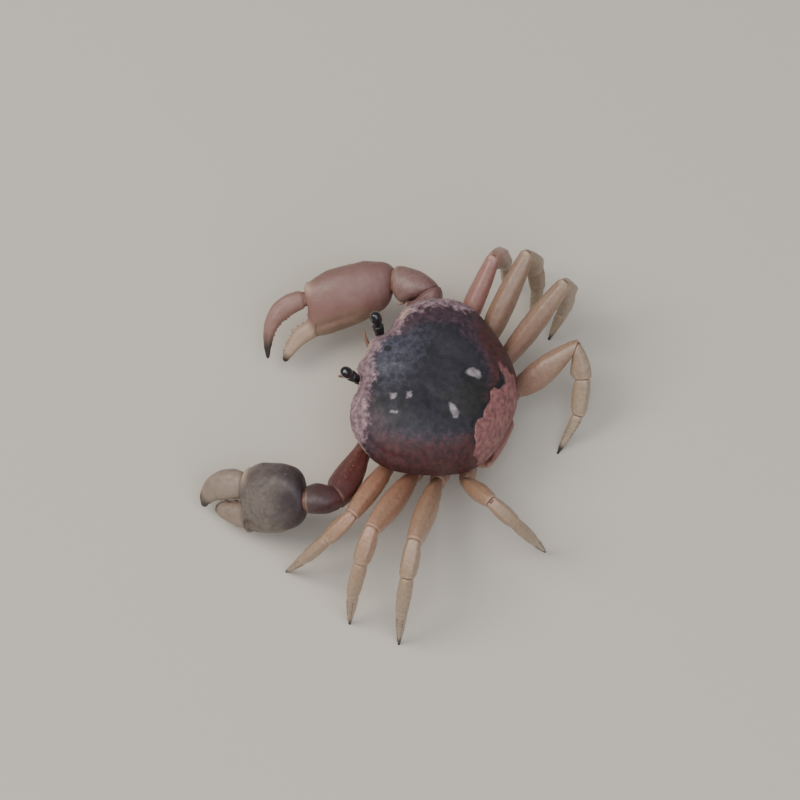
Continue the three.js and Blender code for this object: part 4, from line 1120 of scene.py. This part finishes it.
for letter in FLIPS:
    palm_long, fingers_long, tall, stout, hook = CLAW_FORMS[letter]
    elbow, wrist, claw_axes, arm_planes, bend_side, girth = claw_frames[letter]
    finish, fixed_pale, moving_pale = CLAW_FINISHES[letter]
    slot = ARM_FINISHES[letter][1]

    def on_claw(points):
        """Places given along, up and across the claw, on the crab."""
        return wrist + (points * np.array([1, tall, tall])) @ claw_axes

    def formed(x, y):
        """Distance along and height above the claw's axis of a place in the sections, in this claw's form."""
        past = np.maximum(x - FINGER_HINGE[0], 0)
        return (np.minimum(x, FINGER_HINGE[0]) * palm_long + past * fingers_long,
                np.where(y < HOOK_FROM, HOOK_FROM + (y - HOOK_FROM) * hook, y))

    def stud(place, core, sunk, length, radius, *form, **marks):
        """A knob on the claw's skin that points away from the core, with its foot sunk a little way in."""
        out = unit(place - core)
        return knob(on_claw(place - out * sunk), out @ claw_axes, length, radius, *form, **marks)

    share = np.linspace(0, 1, PALM_ROWS)
    x, middle, half_height, half_thick, droop = eased(PALM_SECTIONS, share, 1).T
    past_hinge = ramp(x, FINGER_HINGE[0], FINGER_TIP[0])
    stouter = 1 + stout * ramp(x, STOUT_FROM, STOUT_FROM + .8) * (1 + STOUT_RISE * past_hinge)
    half_height = np.maximum(half_height, LEAST_HALF) * stouter
    half_thick = np.maximum(half_thick, LEAST_HALF) * stouter
    ways = np.stack([np.cos(np.radians(droop)), np.sin(np.radians(droop) * hook), 0 * x], axis=-1)
    near_turn = np.clip(1 - 6.6 * share, 0, 1)[:, None]
    ways = unit(ways * (1 - near_turn) + claw_axes @ arm_planes[2] * near_turn)
    across = square_to(np.array([0, 0, 1]), ways)
    narrowed = (1 - .08 * ramp(x, 1.4, .6) ** 2) * rounded(share, .97, 1, .04)
    palm_x, palm_y = formed(x, middle)
    palm = hoops(np.stack([palm_x, palm_y, 0 * x], axis=-1), across, np.cross(across, ways),
                 half_thick * narrowed, half_height * narrowed, PALM_COLUMNS, 2.3)
    on_finger = ramp(share, FIXED_FINGER_FROM, FIXED_FINGER_FROM + .05)[:, None]
    low_furrows = stripe(palm, 322, 9) + stripe(palm, 218, 9)
    palm_relief = (.3 * stripe(palm, 270, 16) - .26 * low_furrows) * ramp(share, .2, .4)[:, None]
    finger_furrows = (stripe(palm, 0, 16) + stripe(palm, 180, 16)) * (share[:, None] < .94)
    relief = palm_relief * (1 - on_finger) - .2 * finger_furrows * on_finger
    relief = relief * half_height[:, None] / 7 * 1.6
    palm = raised(palm, relief + grain(palm, 3.2, .16) + grain(palm, 1.1, .05, 9))
    hinge_x = float(formed(FINGER_HINGE[0], 0)[0])
    palm = hollowed(palm, ([hinge_x + .4, FINGER_HINGE[1], 0], HINGE_CUP, 0, [-1, 0, 0]), .2)
    palm_core = palm.mean(axis=1)

    palm_beads = []
    for row in PALM_BEAD_ROWS:              # along the upper edge of the palm
        for column in (PALM_UPPER - 5, PALM_UPPER, PALM_UPPER + 5):
            strayed = (row + round(2 * math.sin(row * 1.7 + column)),
                       column + round(1.6 * math.sin(row * 2.3)))
            size = .3 - .001 * row + .08 * math.sin(row * 3.1 + column)
            palm_beads.append(stud(palm[strayed], palm_core[row], .6 * size, size, size,
                                   along=.6, height=.95, tip=0, pale=.06))
    hinge_spot = bump(palm[..., 0], palm[..., 1], (hinge_x - .7, 5), (HINGE_SPOT, HINGE_SPOT))
    palm_skin = shell(
        on_claw(palm), along=np.clip(x / PALM_LENGTH, 0, 1)[:, None],
        height=np.clip((palm[..., 1] + 1) / 16 + .42, 0, 1), tip=ramp(share, .78, .98)[:, None],
        pale=np.clip(.7 * hinge_spot + fixed_pale * on_finger, 0, 1))
    piece(f"claw_{letter}_palm_shell", [palm_skin, *palm_beads], finish, [f"claw_{letter}_palm"])

    finger_share = np.linspace(0, 1, FINGER_ROWS)
    finger_points = [[*formed(px, py), pz] for px, py, pz in (FINGER_HINGE, FINGER_BEND, FINGER_TIP)]
    finger_line = bowed(finger_points, finger_share)
    finger_rise = np.cross([0, 0, 1], unit(np.gradient(finger_line, axis=0)))
    finger_half = eased(FINGER_HALF_HEIGHTS, finger_share, 1) * rounded(finger_share, .96, 1, .04)
    finger_half = finger_half * (1 - .2 * ramp(finger_share, .05, 0) ** 2)
    finger_half = finger_half * (1 + stout * (1 + STOUT_RISE * finger_share))
    finger = hoops(finger_line, [0, 0, 1], finger_rise, finger_half * FINGER_THICKNESS, finger_half,
                   FINGER_COLUMNS, 2.2)
    furrows = stripe(finger, 28, 13) + stripe(finger, 152, 13)
    furrows = furrows * np.minimum(ramp(finger_share, 0, .15), ramp(finger_share, .93, .83))[:, None]
    finger = raised(finger, -.22 * furrows + grain(finger, 1.8, .09) + grain(finger, .8, .03, 3) - .1)
    finger_beads = []
    for row in FINGER_BEAD_ROWS:            # along the upper edge of the finger
        size = .3 - .003 * row + .06 * math.sin(row * 2.1)
        finger_beads.append(stud(finger[row, FINGER_UPPER], finger_line[row], .4 * size, size, size,
                                 along=.8, height=.9, tip=0, pale=.1))
    finger_skin = shell(
        on_claw(finger), along=.75 + .25 * finger_share[:, None], height=.6,
        tip=ramp(finger_share, .42, .92)[:, None], pale=moving_pale)
    piece(f"claw_{letter}_finger_shell", [finger_skin, *finger_beads], finish,
          [f"claw_{letter}_dactyl"])

    teeth = [
        stud(palm[row, PALM_UPPER], palm_core[row], TOOTH_SUNK, .5 + .35 * size, .3 + .45 * size, 2.4, 12, 7)
        for row, size in FIXED_TEETH
    ] + [
        stud(finger[row, FINGER_LOWER], finger_line[row], TOOTH_SUNK, .48 + .3 * size, .28 + .42 * size,
             2.4, 12, 7)
        for row, size in MOVING_TEETH
    ]
    piece(f"claw_{letter}_teeth", teeth, tooth_horn)

    hinge = on_claw([hinge_x - .5, FINGER_HINGE[1], 0])
    claw_bands = [
        joint_band(elbow, arm_planes[1], bend_side, 2.8 * girth, 3.2 * girth, .9),
        joint_band(wrist, arm_planes[2], bend_side, 3 * girth, 3.3 * girth, 1.1),
        joint_band(hinge, claw_axes[0], claw_axes[2], 1.75 * tall, 2 * tall),
    ]
    piece(f"claw_{letter}_joint_skin", claw_bands, joint_skin)

# ---------------------------------------- stage
# A plain pale floor that the crab stands on, three soft lamps under a dim sky, and a camera above and to
# the left of the crab. None of it is part of the crab.

HALF_FLOOR = 1.5
CAMERA_AZIMUTH = math.radians(115)
CAMERA_ELEVATION = math.radians(61)
CAMERA_DISTANCE = 1.6
FRAME_WIDTH = .1848         # seen at the crab
SENSOR_WIDTH = 36
AIM_RIGHT = -8.1            # from the middle of the shell to the middle of the view, in mm
AIM_UP = -2.3
AIM_HEIGHT = 22

floor_mesh = bpy.data.meshes.new("floor")
floor_corners = [(x * HALF_FLOOR, y * HALF_FLOOR, 0) for x, y in ((-1, -1), (1, -1), (1, 1), (-1, 1))]
floor_mesh.from_pydata(floor_corners, [], [(0, 1, 2, 3)])
placed("floor", floor_mesh)
floor_paint = bpy.data.materials.new("floor_paint")
floor_paint.use_nodes = True
floor_shader = floor_paint.node_tree.nodes["Principled BSDF"]
floor_shader.inputs["Base Color"].default_value = linear("#cdc7bc")
floor_shader.inputs["Roughness"].default_value = .9
floor_mesh.materials.append(floor_paint)


def lamp(name, place, size, power, colour):
    """A square soft box that faces the crab."""
    light = bpy.data.lights.new(name, "AREA")
    light.size = size
    light.energy = power
    light.color = linear(colour)[:3]
    made = placed(name, light)
    made.location = place
    made.rotation_euler = (-made.location).to_track_quat("-Z", "Y").to_euler()


lamp("key_lamp", (.35, -.75, 1.1), .8, 11, "#fff6ea")
lamp("fill_lamp", (.6, .8, .9), 1.0, 5, "#eef2ff")
lamp("top_lamp", (.45, .15, 1.4), 1.2, 9, "#ffffff")
world = bpy.data.worlds.new("studio")
world.use_nodes = True
world.node_tree.nodes["Background"].inputs["Color"].default_value = linear("#dfe3ea")
world.node_tree.nodes["Background"].inputs["Strength"].default_value = .35
bpy.context.scene.world = world

view_right = np.array([math.cos(CAMERA_AZIMUTH), math.sin(CAMERA_AZIMUTH), 0])
view_back = np.array([
    math.sin(CAMERA_AZIMUTH) * math.cos(CAMERA_ELEVATION),
    -math.cos(CAMERA_AZIMUTH) * math.cos(CAMERA_ELEVATION),
    math.sin(CAMERA_ELEVATION),
])
view_up = np.cross(view_back, view_right)
aim = np.array([0, 0, AIM_HEIGHT]) + view_right * AIM_RIGHT + view_up * AIM_UP
camera_data = bpy.data.cameras.new("camera")
camera_data.sensor_width = SENSOR_WIDTH
camera_data.lens = SENSOR_WIDTH * CAMERA_DISTANCE / FRAME_WIDTH
camera = placed("camera", camera_data)
camera.location = (aim / 1000 + SHELL_PLACE + view_back * CAMERA_DISTANCE).tolist()
camera.rotation_euler = (math.pi / 2 - CAMERA_ELEVATION, 0, CAMERA_AZIMUTH)
bpy.context.scene.camera = camera
